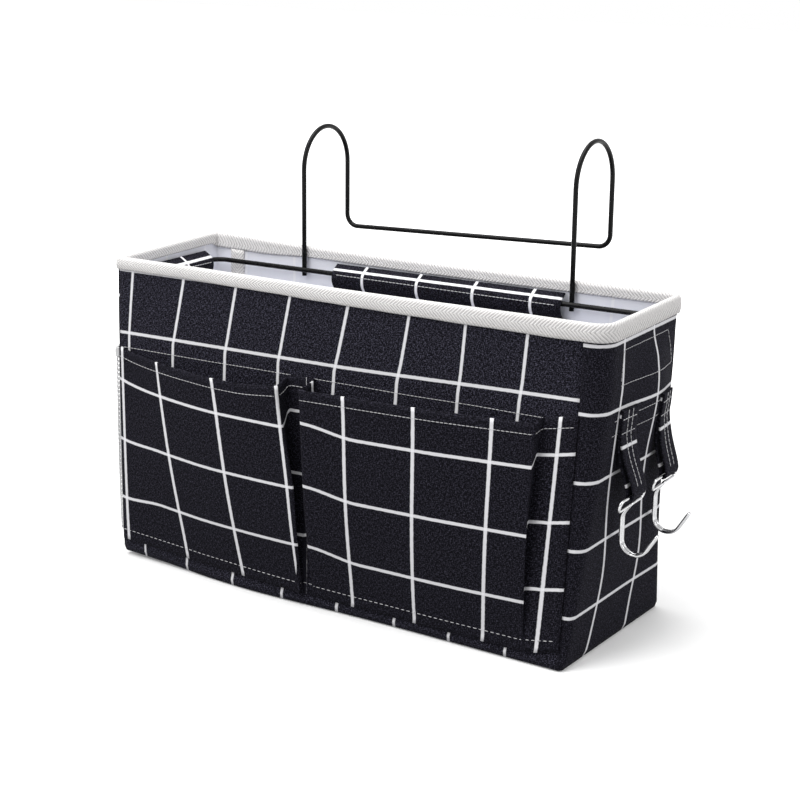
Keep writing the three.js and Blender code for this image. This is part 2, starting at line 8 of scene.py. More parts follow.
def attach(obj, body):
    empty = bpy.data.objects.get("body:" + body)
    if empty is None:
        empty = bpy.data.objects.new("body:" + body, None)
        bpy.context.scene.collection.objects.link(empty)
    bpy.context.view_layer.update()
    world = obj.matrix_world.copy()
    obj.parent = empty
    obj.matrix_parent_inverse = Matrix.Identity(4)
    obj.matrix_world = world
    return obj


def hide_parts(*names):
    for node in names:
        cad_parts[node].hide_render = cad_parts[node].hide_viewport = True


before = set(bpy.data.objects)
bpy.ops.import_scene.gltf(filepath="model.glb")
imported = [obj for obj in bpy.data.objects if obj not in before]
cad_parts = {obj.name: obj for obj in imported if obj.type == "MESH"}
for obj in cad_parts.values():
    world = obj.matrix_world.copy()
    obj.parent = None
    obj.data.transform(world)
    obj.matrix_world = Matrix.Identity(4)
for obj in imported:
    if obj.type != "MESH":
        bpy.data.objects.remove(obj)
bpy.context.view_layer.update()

scene = bpy.context.scene

# The viewing angle: a long lens to the front and right of the organizer, a little above its rim,
# turned by half a degree as a hand-set tripod is.
MM = 0.001
VIEW_AROUND = math.radians(30.7777516)
VIEW_ABOVE = math.radians(15.3677371)
VIEW_TURN = math.radians(0.624462261)
VIEW_FROM = Vector((627.742, -1037.204, 466.503)) * MM
LENS = 80.87
FILM = 36
NEAREST = 0.05
FARTHEST = 30

lens = bpy.data.cameras.new("view")
lens.sensor_width = FILM
lens.lens = LENS
lens.clip_start = NEAREST
lens.clip_end = FARTHEST
camera = bpy.data.objects.new("view", lens)
scene.collection.objects.link(camera)
behind = Vector((
    math.sin(VIEW_AROUND) * math.cos(VIEW_ABOVE),
    -math.cos(VIEW_AROUND) * math.cos(VIEW_ABOVE),
    math.sin(VIEW_ABOVE),
))
level_right = Vector((math.cos(VIEW_AROUND), math.sin(VIEW_AROUND), 0))
level_up = behind.cross(level_right)
right = level_right * math.cos(VIEW_TURN) + level_up * math.sin(VIEW_TURN)
up = level_up * math.cos(VIEW_TURN) - level_right * math.sin(VIEW_TURN)
view_turned = Matrix((right, up, behind)).transposed().to_4x4()
camera.matrix_world = Matrix.Translation(VIEW_FROM) @ view_turned
scene.camera = camera

# The studio: a sheet of white paper to stand on, a broad soft lamp overhead, a small one at the front left
# and one beyond the right end, in an even white surround. The paper reads as white and keeps the shadow.
FLOOR_SIZE = 6
FLOOR_SINK = 0.0004
FLOOR_PALE = (0.9, 0.9, 0.9, 1)
FLOOR_BOUNCE = (0.34, 0.34, 0.35, 1)
FLOOR_LIFT = 0.13
FLOOR_WHITE_FROM = 0.3
FLOOR_WHITE_BY = 0.8
SURROUND = 0.5
WHITE = (1, 1, 1, 1)
LAMP_AIM = Vector((0, 0, 0.1))
LAMPS = {
    "key_lamp": ((-0.25, -0.1, 1.6), 1.5, 27),
    "front_lamp": ((-0.3, -0.85, 0.9), 0.7, 5.2),
    "side_lamp": ((1.1, 0.1, 0.55), 0.6, 3),
}


def math_step(tree, operation, *values):
    step = tree.nodes.new("ShaderNodeMath")
    step.operation = operation
    for socket, value in zip(step.inputs, values):
        if isinstance(value, (int, float)):
            socket.default_value = value
        else:
            tree.links.new(value, socket)
    return step.outputs[0]


def ramp_step(tree, value, low, high, low_out=0.0, high_out=1.0):
    ramp = tree.nodes.new("ShaderNodeMapRange")
    ramp.interpolation_type = "SMOOTHSTEP"
    for socket, number in zip(list(ramp.inputs)[1:5], (low, high, low_out, high_out)):
        socket.default_value = number
    tree.links.new(value, ramp.inputs["Value"])
    return ramp.outputs["Result"]


def blend_colours(tree, share, first, second):
    mixed = tree.nodes.new("ShaderNodeMix")
    mixed.data_type = "RGBA"
    tree.links.new(share, mixed.inputs["Factor"])
    for socket, colour in zip((mixed.inputs[6], mixed.inputs[7]), (first, second)):
        if isinstance(colour, tuple):
            socket.default_value = colour
        else:
            tree.links.new(colour, socket)
    return mixed.outputs[2]


def seen_straight(tree):
    path = tree.nodes.new("ShaderNodeLightPath")
    glossy, through = path.outputs["Is Glossy Ray"], path.outputs["Is Transmission Ray"]
    mirrored = math_step(tree, "MAXIMUM", glossy, through)
    return math_step(tree, "MAXIMUM", path.outputs["Is Camera Ray"], mirrored)


def new_finish(name, roughness, specular):
    finish = bpy.data.materials.new(name)
    finish.use_nodes = True
    shader = finish.node_tree.nodes["Principled BSDF"]
    shader.inputs["Roughness"].default_value = roughness
    shader.inputs["Specular IOR Level"].default_value = specular
    return finish, finish.node_tree, shader


def finished(name, mesh, thickness=0.0, offset=-1.0, smooth=True):
    for face in mesh.faces:
        face.smooth = smooth
    data = bpy.data.meshes.new(name)
    mesh.to_mesh(data)
    mesh.free()
    piece = bpy.data.objects.new(name, data)
    scene.collection.objects.link(piece)
    if thickness:
        ply = piece.modifiers.new("ply", "SOLIDIFY")
        ply.thickness = thickness * MM
        ply.offset = offset
    return piece


scene.view_settings.view_transform = "Standard"
surround = bpy.data.worlds.new("surround")
scene.world = surround
surround.use_nodes = True
tree = surround.node_tree
air = tree.nodes["Background"]
air.inputs["Color"].default_value = WHITE
strength = math_step(tree, "MULTIPLY_ADD", seen_straight(tree), 1 - SURROUND, SURROUND)
tree.links.new(strength, air.inputs["Strength"])

paper, tree, shader = new_finish("paper", roughness=0.85, specular=0.1)
shader.inputs["Emission Color"].default_value = WHITE
spot = tree.nodes.new("ShaderNodeTexCoord").outputs["Object"]
away = tree.nodes.new("ShaderNodeVectorMath")
away.operation = "LENGTH"
tree.links.new(spot, away.inputs[0])
fade = ramp_step(tree, away.outputs["Value"], FLOOR_WHITE_FROM, FLOOR_WHITE_BY, FLOOR_LIFT, 1)
seen = seen_straight(tree)
tree.links.new(math_step(tree, "MULTIPLY", seen, fade), shader.inputs["Emission Strength"])
tree.links.new(blend_colours(tree, seen, FLOOR_BOUNCE, FLOOR_PALE), shader.inputs["Base Color"])
ground = bmesh.new()
bmesh.ops.create_grid(ground, x_segments=1, y_segments=1, size=FLOOR_SIZE)
bmesh.ops.translate(ground, verts=ground.verts, vec=(0, 0, -FLOOR_SINK))
paper_floor = finished("paper_floor", ground)
paper_floor.data.materials.append(paper)

for name, (place, size, power) in LAMPS.items():
    lamp = bpy.data.lights.new(name, "AREA")
    lamp.shape = "DISK"
    lamp.size = size
    lamp.energy = power
    holder = bpy.data.objects.new(name, lamp)
    holder.location = place
    holder.rotation_euler = (LAMP_AIM - Vector(place)).to_track_quat("-Z", "Y").to_euler()
    scene.collection.objects.link(holder)

# Canvas box: front, back and two end walls of black cotton canvas with a white windowpane check.
# Each wall starts at a corner and wraps past the next one to its seam. The filled bag leans, slumps
# and twists towards its foot. A run or a heights pair says where an effect starts and where it is full.
BAG_LENGTH = 384
BAG_DEPTH = 115
BAG_HEIGHT = 222
HALF_LENGTH = BAG_LENGTH / 2
HALF_DEPTH = BAG_DEPTH / 2
CORNERS = {"front_left": 2.5, "front_right": 13, "back_right": 7, "back_left": 4}
SOFT_CORNERS = {"front_left": 0, "front_right": 0, "back_right": 14, "back_left": 0}
RIGHT_CORNERS = ("front_right", "back_right")
LEFT_CORNERS = ("back_left", "front_left")
FOOT_CORNER = 4
CORNER_SETTLES = 150
TIGHTEST_CORNER = 0.3
SEAM_INSET = 17
SEAM_SETTLES = 12
FRONT_LEAN = 8
FRONT_SKEW = 0.055
SKEW_FROM = -96
FOOT_BELLY = 4
BELLY_MIDDLE, BELLY_REACH = -70, 75
FOOT_FLARE = 2.5
FLARE_HEIGHTS = (13, 0)
FLARE_RUN = (-150, -50)
REAR_RISE = 1.4
REAR_SPREAD = 3.2
REAR_RUN = (-95, -190)
REAR_HEIGHTS = (120, 210)
CORNER_LIFT = 2.5
LIFT_FROM, LIFT_REACH = -110, 80
SLUMP_BELOW = 178
SLUMP_CURVE = 1.1
SLUMP_SHIFT = 8.5
SLUMP_TWIST = 3.5
END_BULGE = 5.5
BULGE_MIDDLE = (12, 168)
BULGE_REACH = (28, 36)
BULGE_HEIGHTS = (209, 189)
WRINKLE = 1.1
WRINKLE_SIZE = 70
WRINKLE_DEEP, WRINKLE_TALL = 1.3, 0.6
WRINKLE_FOOT = (0, 30)
WRINKLE_RIM = (205, 145)
WRINKLE_SEED = 12
CANVAS = 1.5
WALL_GRID = (90, 56)
WALL_FOOT = 0.6
WALL_TOP = 220.7
FOOT_TURN = 5
FOOT_TUCK = 2.6

noise.seed_set(WRINKLE_SEED)


def clamped(share):
    return min(1, max(0, share))


def eased(share):
    share = clamped(share)
    return share * share * (3 - 2 * share)


def eased_over(value, span):
    start, full = span
    return eased((value - start) / (full - start))


def swell(value, middle, reach):
    return math.exp(-((value - middle) / reach) ** 2)


def between(first, last, share):
    return first + (last - first) * share


def corner_radius(corner, z):
    at_rim = CORNERS[corner]
    at_foot = min(FOOT_CORNER, at_rim)
    soft = SOFT_CORNERS[corner] * math.sin(math.pi * clamped(z / BAG_HEIGHT))
    return between(at_foot, at_rim, eased(z / CORNER_SETTLES)) + soft


def foot_tuck(z):
    below = clamped(1 - z / FOOT_TURN)
    return FOOT_TUCK * (1 - math.sqrt(1 - below * below))


def slump(z):
    return max(0, 1 - z / SLUMP_BELOW) ** SLUMP_CURVE


def seam_inset(z):
    return SEAM_INSET - SEAM_SETTLES * slump(z)


def slump_shift(x, y, z):
    twist = SLUMP_TWIST * max(0, x / HALF_LENGTH) * y / HALF_DEPTH
    return slump(z) * (SLUMP_SHIFT * (1 + x / HALF_LENGTH) / 2 - twist)


def settled(x, y, z):
    front = (HALF_DEPTH - y) / BAG_DEPTH
    across = x - slump_shift(x, y, z)
    lean = FRONT_LEAN * front * (1 - z / BAG_HEIGHT)
    belly = FOOT_BELLY * swell(x, BELLY_MIDDLE, BELLY_REACH)
    flare = FOOT_FLARE * front * eased_over(z, FLARE_HEIGHTS) * eased_over(x, FLARE_RUN)
    skew = (FRONT_SKEW * (across - SKEW_FROM) + belly) * front * slump(z)
    lift = CORNER_LIFT * front * slump(z) * max(0, LIFT_FROM - x) / LIFT_REACH
    rear = (1 - front) * eased_over(x, REAR_RUN) * eased_over(z, REAR_HEIGHTS)
    forward = lean + skew + flare - REAR_SPREAD * rear
    soft = WRINKLE * eased_over(z, WRINKLE_FOOT) * eased_over(z, WRINKLE_RIM)
    crease = noise.noise_vector(Vector((x, WRINKLE_DEEP * y, WRINKLE_TALL * z)) / WRINKLE_SIZE)
    across += soft * crease.x
    return Vector((across, y - forward + soft * crease.y, z + lift + REAR_RISE * rear)) * MM


def end_bulge(y, z):
    across = swell(y, BULGE_MIDDLE[0], BULGE_REACH[0])
    upward = swell(z, BULGE_MIDDLE[1], BULGE_REACH[1])
    return END_BULGE * across * upward * eased_over(z, BULGE_HEIGHTS)


def end_runs(z, near_corner, far_corner):
    near, far = corner_radius(near_corner, z), corner_radius(far_corner, z)
    wrap = max(0, seam_inset(z) - near)
    return wrap, near * math.pi / 2, BAG_DEPTH - near - far, far * math.pi / 2


def end_outline(share, z, grow, near_corner, far_corner):
    wrap, bend, flat, far_bend = end_runs(z, near_corner, far_corner)
    near = max(TIGHTEST_CORNER, corner_radius(near_corner, z) + grow)
    far = max(TIGHTEST_CORNER, corner_radius(far_corner, z) + grow)
    face, side = HALF_LENGTH + grow, HALF_DEPTH + grow
    along = share * (wrap + bend + flat + far_bend)
    from_middle = along - wrap - bend + corner_radius(near_corner, z) - HALF_DEPTH
    if along < wrap:
        x = between(HALF_LENGTH - seam_inset(z), face - near, along / wrap)
        y = -side
    elif along < wrap + bend:
        angle = math.pi / 2 * (along - wrap) / bend
        x = face - near + near * math.sin(angle)
        y = near - side - near * math.cos(angle)
    elif along < wrap + bend + flat:
        x = face
        y = between(near - side, side - far, (along - wrap - bend) / flat)
    else:
        angle = math.pi / 2 * (along - wrap - bend - flat) / far_bend
        x = face - far + far * math.cos(angle)
        y = side - far + far * math.sin(angle)
    return x, y, from_middle


def right_end(share, z, grow):
    return end_outline(share, z, grow, *RIGHT_CORNERS)


def left_end(share, z, grow):
    x, y, from_middle = end_outline(share, z, grow, *LEFT_CORNERS)
    return -x, -y, from_middle


def long_wall(share, z, corner):
    return between(corner_radius(corner, z) - HALF_LENGTH, HALF_LENGTH - seam_inset(z), share)


def wall_z(b):
    return between(WALL_FOOT, WALL_TOP, b)


def wall_share(z):
    return (z - WALL_FOOT) / (WALL_TOP - WALL_FOOT)


# where the check lies on each wall: its zero lines, and how far the cloth is pulled off its grain
CHECK = 45.38
END_CHECK = 43.3
FRONT_PRINT = (-177.6, 169.5)
FRONT_PRINT_STRETCH = 1.01
FRONT_PRINT_FALL = 0.019
BACK_PRINT = (10, 178)
RIGHT_PRINT = (-33, 207.8)
LEFT_PRINT = (-14, 196)
FRONT_SHEAR = 0.07
MIDDLE_SHEAR = 0.12
SHEAR_RISES = (-190, -145)
SHEAR_FALLS = (100, 20)
SHEAR_BELOW, SHEAR_DEPTH = 212, 46
FRONT_PUCKER = 4
PUCKER_MIDDLE, PUCKER_REACH = 40, 38
FOOT_DRIFT = 14
FOOT_DRIFT_HEIGHTS = (60, 20)
END_DRIFT = 8
END_DRIFT_MIDDLE, END_DRIFT_REACH = 55, 38


def front_wall_lay(a, b, grow=0):
    z = wall_z(b)
    x = long_wall(a, z, "front_left")
    y = foot_tuck(z) - HALF_DEPTH - grow
    shear = FRONT_SHEAR + MIDDLE_SHEAR * eased_over(x, SHEAR_RISES) * eased_over(x, SHEAR_FALLS)
    off_grain = shear * max(z - SHEAR_BELOW, -SHEAR_DEPTH)
    off_grain += FRONT_PUCKER * swell(x, PUCKER_MIDDLE, PUCKER_REACH)
    off_grain += FOOT_DRIFT * eased_over(z, FOOT_DRIFT_HEIGHTS)
    across = FRONT_PRINT_STRETCH * (x - FRONT_PRINT[0] - off_grain)
    return settled(x, y, z), (across, z - FRONT_PRINT[1] - FRONT_PRINT_FALL * max(0, x))


def back_wall_lay(a, b, grow=0):
    z = wall_z(b)
    x = -long_wall(a, z, "back_right")
    y = HALF_DEPTH + grow - foot_tuck(z)
    return settled(x, y, z), (BACK_PRINT[0] - x, z - BACK_PRINT[1])


def right_wall_lay(a, b, grow=0):
    z = wall_z(b)
    x, y, along = right_end(a, z, grow - foot_tuck(z))
    place = settled(x, y, z) + Vector((end_bulge(along, z), 0, 0)) * MM
    off_grain = END_DRIFT * swell(z, END_DRIFT_MIDDLE, END_DRIFT_REACH)
    return place, (along - RIGHT_PRINT[0] - off_grain, (z - RIGHT_PRINT[1]) * CHECK / END_CHECK)


def left_wall_lay(a, b, grow=0):
    z = wall_z(b)
    x, y, along = left_end(a, z, grow - foot_tuck(z))
    return settled(x, y, z), (along - LEFT_PRINT[0], z - LEFT_PRINT[1])


def laid_grid(columns, rows, lay):
    mesh = bmesh.new()
    bmesh.ops.create_grid(mesh, x_segments=columns, y_segments=rows, size=0.5)
    bolt = mesh.loops.layers.uv.new("bolt")
    laid = {vert: lay(vert.co.x + 0.5, vert.co.y + 0.5) for vert in mesh.verts}
    for face in mesh.faces:
        for corner in face.loops:
            corner[bolt].uv = laid[corner.vert][1]
    for vert, (place, _) in laid.items():
        vert.co = place
    bmesh.ops.remove_doubles(mesh, verts=mesh.verts, dist=0.01 * MM)
    return mesh, bolt


def cut_cloth(name, columns, rows, lay, thickness, offset=-1.0):
    mesh, _ = laid_grid(columns, rows, lay)
    return finished(name, mesh, thickness, offset)


# the canvas as a finish: the check's white threads, the black yarn's pale flecks and the plain weave's height
CHECK_LINE = 2.1
LINE_FRAYS = (-0.2, 0.3)
LINE_WAVER = 0.5
WEAVE_PITCH = 0.9
WEAVE_RELIEF = 0.5
LINE_SHADE, LINE_WEAVE = 0.86, 0.09
UPRIGHT_YARN = (1.2, 0.3, 1)
LEVEL_YARN = (0.4, 1.2, 1)
YARN_SCALE = 1.5
SPECKLE, SPECKLE_SCALE = 0.8, 1.6
FLECK_FROM, FLECK_FULL = 1.3, 1.82
CANVAS_BLACK = (0.002, 0.0019, 0.0036, 1)
CANVAS_FLECK = (0.047, 0.045, 0.064, 1)
# paler flecks for the long walls: partly the cloth's tone, partly painted light for the brighter front wall
LONG_WALL_TONE_AND_LIGHT_FLECK = (0.09, 0.087, 0.124, 1)
CHECK_WHITE = (0.94, 0.935, 0.96, 1)
EVEN = (1, 1, 1)


def new_group(name, vectors, numbers, outputs):
    group = bpy.data.node_groups.new(name, "ShaderNodeTree")
    for label in vectors:
        group.interface.new_socket(label, in_out="INPUT", socket_type="NodeSocketVector")
    for label in numbers:
        group.interface.new_socket(label, in_out="INPUT", socket_type="NodeSocketFloat")
    for label in outputs:
        group.interface.new_socket(label, in_out="OUTPUT", socket_type="NodeSocketFloat")
    return group, group.nodes.new("NodeGroupInput").outputs, group.nodes.new("NodeGroupOutput").inputs


grain, given, result = new_group("grain", ("Place", "Stretch"), ("Scale", "Detail"), ("Grain",))
stretched = grain.nodes.new("ShaderNodeMapping")
grain.links.new(given["Place"], stretched.inputs["Vector"])
grain.links.new(given["Stretch"], stretched.inputs["Scale"])
cloud = grain.nodes.new("ShaderNodeTexNoise")
grain.links.new(stretched.outputs["Vector"], cloud.inputs["Vector"])
grain.links.new(given["Scale"], cloud.inputs["Scale"])
grain.links.new(given["Detail"], cloud.inputs["Detail"])
grain.links.new(cloud.outputs["Fac"], result["Grain"])


def grain_step(tree, place, scale, detail=2.0, stretch=EVEN):
    placed = tree.nodes.new("ShaderNodeGroup")
    placed.node_tree = grain
    tree.links.new(place, placed.inputs["Place"])
    placed.inputs["Stretch"].default_value = stretch
    placed.inputs["Scale"].default_value = scale
    placed.inputs["Detail"].default_value = detail
    return placed.outputs["Grain"]


def wave(tree, place, pitch):
    return math_step(tree, "SINE", math_step(tree, "MULTIPLY", place, 2 * math.pi / pitch))


def bolt_place(tree):
    coordinates = tree.nodes.new("ShaderNodeUVMap")
    coordinates.uv_map = "bolt"
    return coordinates.outputs["UV"]


def placed_weave(tree, group):
    placed = tree.nodes.new("ShaderNodeGroup")
    placed.node_tree = group
    tree.links.new(bolt_place(tree), placed.inputs["Bolt"])
    return placed.outputs


def raise_surface(tree, shader, height, distance, strength=1.0):
    bump = tree.nodes.new("ShaderNodeBump")
    bump.inputs["Strength"].default_value = strength
    bump.inputs["Distance"].default_value = distance * MM
    tree.links.new(height, bump.inputs["Height"])
    tree.links.new(bump.outputs["Normal"], shader.inputs["Normal"])


windowpane, given, result = new_group("windowpane_canvas", ("Bolt",), (), ("Band", "Fleck", "Height"))
split = windowpane.nodes.new("ShaderNodeSeparateXYZ")
windowpane.links.new(given["Bolt"], split.inputs[0])
drift = grain_step(windowpane, given["Bolt"], 0.35)
waver = math_step(windowpane, "MULTIPLY_ADD", drift, LINE_WAVER, -LINE_WAVER / 2)
lines = []
for axis in ("X", "Y"):
    place = math_step(windowpane, "ADD", split.outputs[axis], waver)
    turns = math_step(windowpane, "ADD", math_step(windowpane, "DIVIDE", place, CHECK), 0.5)
    off_line = math_step(windowpane, "SUBTRACT", math_step(windowpane, "FRACT", turns), 0.5)
    from_line = math_step(windowpane, "MULTIPLY", math_step(windowpane, "ABSOLUTE", off_line), CHECK)
    inner, outer = (CHECK_LINE / 2 + fray for fray in LINE_FRAYS)
    lines.append(ramp_step(windowpane, from_line, inner, outer, 1, 0))
warp = wave(windowpane, split.outputs["X"], WEAVE_PITCH)
weft = wave(windowpane, split.outputs["Y"], WEAVE_PITCH)
basket = math_step(windowpane, "MULTIPLY", warp, weft)
over_under = math_step(windowpane, "MULTIPLY_ADD", basket, LINE_WEAVE, LINE_SHADE)
crossing = math_step(windowpane, "MULTIPLY", *lines)
single = math_step(windowpane, "MULTIPLY", math_step(windowpane, "MAXIMUM", *lines), over_under)
windowpane.links.new(math_step(windowpane, "MAXIMUM", single, crossing), result["Band"])
upright_yarn = grain_step(windowpane, given["Bolt"], YARN_SCALE, 2, UPRIGHT_YARN)
level_yarn = grain_step(windowpane, given["Bolt"], YARN_SCALE, 2, LEVEL_YARN)
speckle = grain_step(windowpane, given["Bolt"], SPECKLE_SCALE, 0)
yarns = math_step(windowpane, "ADD", upright_yarn, level_yarn)
flecks = math_step(windowpane, "MULTIPLY_ADD", speckle, SPECKLE, yarns)
windowpane.links.new(ramp_step(windowpane, flecks, FLECK_FROM, FLECK_FULL), result["Fleck"])
woven = math_step(windowpane, "MULTIPLY_ADD", basket, WEAVE_RELIEF, yarns)
windowpane.links.new(woven, result["Height"])


def canvas(name, fleck):
    finish, tree, shader = new_finish(name, roughness=0.9, specular=0.08)
    weave = placed_weave(tree, windowpane)
    black = blend_colours(tree, weave["Fleck"], CANVAS_BLACK, fleck)
    tree.links.new(blend_colours(tree, weave["Band"], black, CHECK_WHITE), shader.inputs["Base Color"])
    raise_surface(tree, shader, weave["Height"], distance=0.07, strength=0.6)
    return finish


def fit(piece, finish, body, slot, *nodes):
    piece.data.materials.append(finish)
    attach(piece, body)
    if nodes:
        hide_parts(*nodes)


# the long walls get paler flecks: partly the cloth's own tone, partly painted light standing in for the
# brighter light on the front wall
canvas_finish = canvas("check_canvas", CANVAS_FLECK)
long_wall_tone_and_light_finish = canvas("long_wall_tone_and_light_canvas", LONG_WALL_TONE_AND_LIGHT_FLECK)
walls = {}
for name, lay, finish, node in (
    ("front_wall", front_wall_lay, long_wall_tone_and_light_finish, "front_panel"),
    ("back_wall", back_wall_lay, long_wall_tone_and_light_finish, "back_panel"),
    ("right_wall", right_wall_lay, canvas_finish, "right_end_panel"),
    ("left_wall", left_wall_lay, canvas_finish, "left_end_panel"),
):
    walls[name] = cut_cloth(name, *WALL_GRID, lay, CANVAS)
    fit(walls[name], finish, "bag", "grid_canvas", node)

# Thread rows: light cotton lockstitch, sewn through the cloth after it is cut.
# One row holds the pocket bags behind the front wall, below its first check row.
STITCH = 2.9
STITCH_GAP = 0.1
THREAD = 0.5
THREAD_SHADE = (0.34, 0.34, 0.35, 1)
THREAD_PALE = (0.84, 0.835, 0.85, 1)
THREAD_TWIST = 900
FRONT_ROW = 158.5
FRONT_ROW_STOPS = 120
FRONT_ROW_WAVES = 9
FRONT_ROW_WAVER = 0.25
ROW_LIFT = 0.15


def lengths_along(line):
    lengths = [0]
    for start, end in zip(line, line[1:]):
        lengths.append(lengths[-1] + (end - start).length)
    return lengths


def walk(line, lengths, distance):
    k = 0
    while k < len(lengths) - 2 and lengths[k + 1] < distance:
        k += 1
    share = (distance - lengths[k]) / max(1e-9, lengths[k + 1] - lengths[k])
    return line[k].lerp(line[k + 1], share)


def sew(name, rows, body, finish, slot, stitch=STITCH, gap=STITCH_GAP, thread=THREAD):
    mesh = bmesh.new()
    for line in rows:
        lengths = lengths_along(line)
        place = gap * MM / 2
        while place + stitch * MM < lengths[-1]:
            start = walk(line, lengths, place)
            end = walk(line, lengths, place + stitch * MM)
            run = end - start
            turn = run.to_track_quat("Z", "Y").to_matrix().to_4x4()
            size = Matrix.Diagonal((thread * MM / 2, thread * MM / 2, run.length / 2, 1))
            lay = Matrix.Translation((start + end) / 2) @ turn @ size
            bmesh.ops.create_uvsphere(mesh, u_segments=6, v_segments=4, radius=1, matrix=lay)
            place += (stitch + gap) * MM
    row = finished(name, mesh)
    fit(row, finish, body, slot)
    return row


def grained_finish(
    name, shade, pale, roughness, specular, scale,
    detail=2, stretch=EVEN, relief=0.0, strength=1.0, polish=None,
):
    finish, tree, shader = new_finish(name, roughness, specular)
    spot = tree.nodes.new("ShaderNodeTexCoord").outputs["Object"]
    grains = grain_step(tree, spot, scale, detail, stretch)
    tree.links.new(blend_colours(tree, grains, shade, pale), shader.inputs["Base Color"])
    if relief:
        raise_surface(tree, shader, grains, relief, strength)
    if polish:
        tree.links.new(ramp_step(tree, grains, 0.3, 0.7, *polish), shader.inputs["Roughness"])
    return finish, shader


thread_finish, _ = grained_finish(
    "light_thread", THREAD_SHADE, THREAD_PALE, roughness=0.7, specular=0.3, scale=THREAD_TWIST, relief=0.1)
front_line = []
for k in range(FRONT_ROW_STOPS + 1):
    share = k / FRONT_ROW_STOPS
    drift = FRONT_ROW_WAVER * noise.noise(Vector((share * FRONT_ROW_WAVES, FRONT_ROW, 0.5)))
    front_line.append(front_wall_lay(share, wall_share(FRONT_ROW + drift), ROW_LIFT)[0])
front_row = sew("front_stitch_row", [front_line], "bag", thread_finish, "grid_canvas")

# Base: one canvas rectangle sewn to the foot of the walls,
# with a loose sheet of stiff grey board lying on it under the lining.
BASE_THICK = 1.5
BASE_GRID = (64, 24)
BASE_INSET = FOOT_TUCK - 0.4
BASE_PRINT = (-4, -9)
BOARD = 1.8
BOARD_BOTTOM = 1.9
BOARD_INSET = 7.5
BOARD_SHADE = (0.13, 0.13, 0.135, 1)
BOARD_GREY = (0.2, 0.2, 0.21, 1)
BOARD_FIBRE = (1, 0.2, 1)


def base_lay(z, inset):
    def lay(a, b):
        x = (2 * a - 1) * (HALF_LENGTH - inset)
        y = (2 * b - 1) * (HALF_DEPTH - inset)
        return settled(x, y, z), (x - BASE_PRINT[0], y - BASE_PRINT[1])
    return lay


base_cloth = cut_cloth("base_cloth", *BASE_GRID, base_lay(BASE_THICK, BASE_INSET), BASE_THICK)
fit(base_cloth, canvas_finish, "bag", "grid_canvas", "base_panel")

board_finish, _ = grained_finish(
    "grey_board", BOARD_SHADE, BOARD_GREY, roughness=0.75, specular=0.3,
    scale=260, detail=4, stretch=BOARD_FIBRE, relief=0.1, strength=0.4)
stiff_sheet = cut_cloth("stiff_sheet", *BASE_GRID, base_lay(BOARD_BOTTOM + BOARD, BOARD_INSET), BOARD)
fit(stiff_sheet, board_finish, "bag", "stiffener", "base_board")

# Lining: the canvas's coated reverse, silver white, with the check showing through as paler bands.
# It runs round the inside in one piece, from the base up into the rim tape.
LINING = 0.5
LINING_GAP = 1.8
LINING_FLOOR = 4.4
LINING_GRID = (400, 44)
LINING_PRINT = (-20, 186)
SILVER = (0.84, 0.85, 0.92, 1)
SILVER_BAND = (0.95, 0.95, 0.98, 1)
BAND_SHOWS = 0.7
BLOTCH = 0.3
BLOTCH_SCALE = 0.06

lining_finish, tree, shader = new_finish("coated_silver", roughness=0.42, specular=0.55)
weave = placed_weave(tree, windowpane)
cloud = grain_step(tree, bolt_place(tree), BLOTCH_SCALE, 4)
faded = math_step(tree, "MULTIPLY", weave["Band"], BAND_SHOWS)
blotch = math_step(tree, "MULTIPLY_ADD", ramp_step(tree, cloud, 0.35, 0.75), BLOTCH, faded)
tree.links.new(blend_colours(tree, blotch, SILVER, SILVER_BAND), shader.inputs["Base Color"])
tree.links.new(ramp_step(tree, cloud, 0.3, 0.7, 0.36, 0.5), shader.inputs["Roughness"])
raise_surface(tree, shader, weave["Height"], distance=0.06, strength=0.5)


def around(share, z, grow):
    seam_x = HALF_LENGTH - seam_inset(z)
    left, right = sum(end_runs(z, *LEFT_CORNERS)), sum(end_runs(z, *RIGHT_CORNERS))
    front_start = HALF_LENGTH - corner_radius("front_left", z)
    back_start = HALF_LENGTH - corner_radius("back_right", z)
    along = share * (2 * seam_x + left + right + front_start + back_start)
    if along < seam_x:
        return -along, HALF_DEPTH + grow, along
    past = along - seam_x
    if past < left:
        x, y, _ = left_end(past / left, z, grow)
        return x, y, along
    past -= left
    if past < front_start + seam_x:
        return past - front_start, -HALF_DEPTH - grow, along
    past -= front_start + seam_x
    if past < right:
        x, y, _ = right_end(past / right, z, grow)
        return x, y, along
    return back_start - past + right, HALF_DEPTH + grow, along


def lining_lay(a, b):
    z = between(LINING_FLOOR, WALL_TOP, b)
    x, y, along = around(a, z, -LINING_GAP - foot_tuck(z))
    return settled(x, y, z), (along - LINING_PRINT[0], z - LINING_PRINT[1])


mesh, bolt = laid_grid(*LINING_GRID, lining_lay)
foot_edges = [edge for edge in mesh.edges if edge.is_boundary and edge.verts[0].co.z < BAG_HEIGHT * MM / 2]
for face in bmesh.ops.edgeloop_fill(mesh, edges=foot_edges)["faces"]:
    if face.normal.z > 0:
        face.normal_flip()
    for corner in face.loops:
        corner[bolt].uv = (corner.vert.co.x / MM, corner.vert.co.y / MM)
lining_cloth = finished("lining_cloth", mesh, LINING)
fit(lining_cloth, lining_finish, "bag", "coated_lining", "lining")

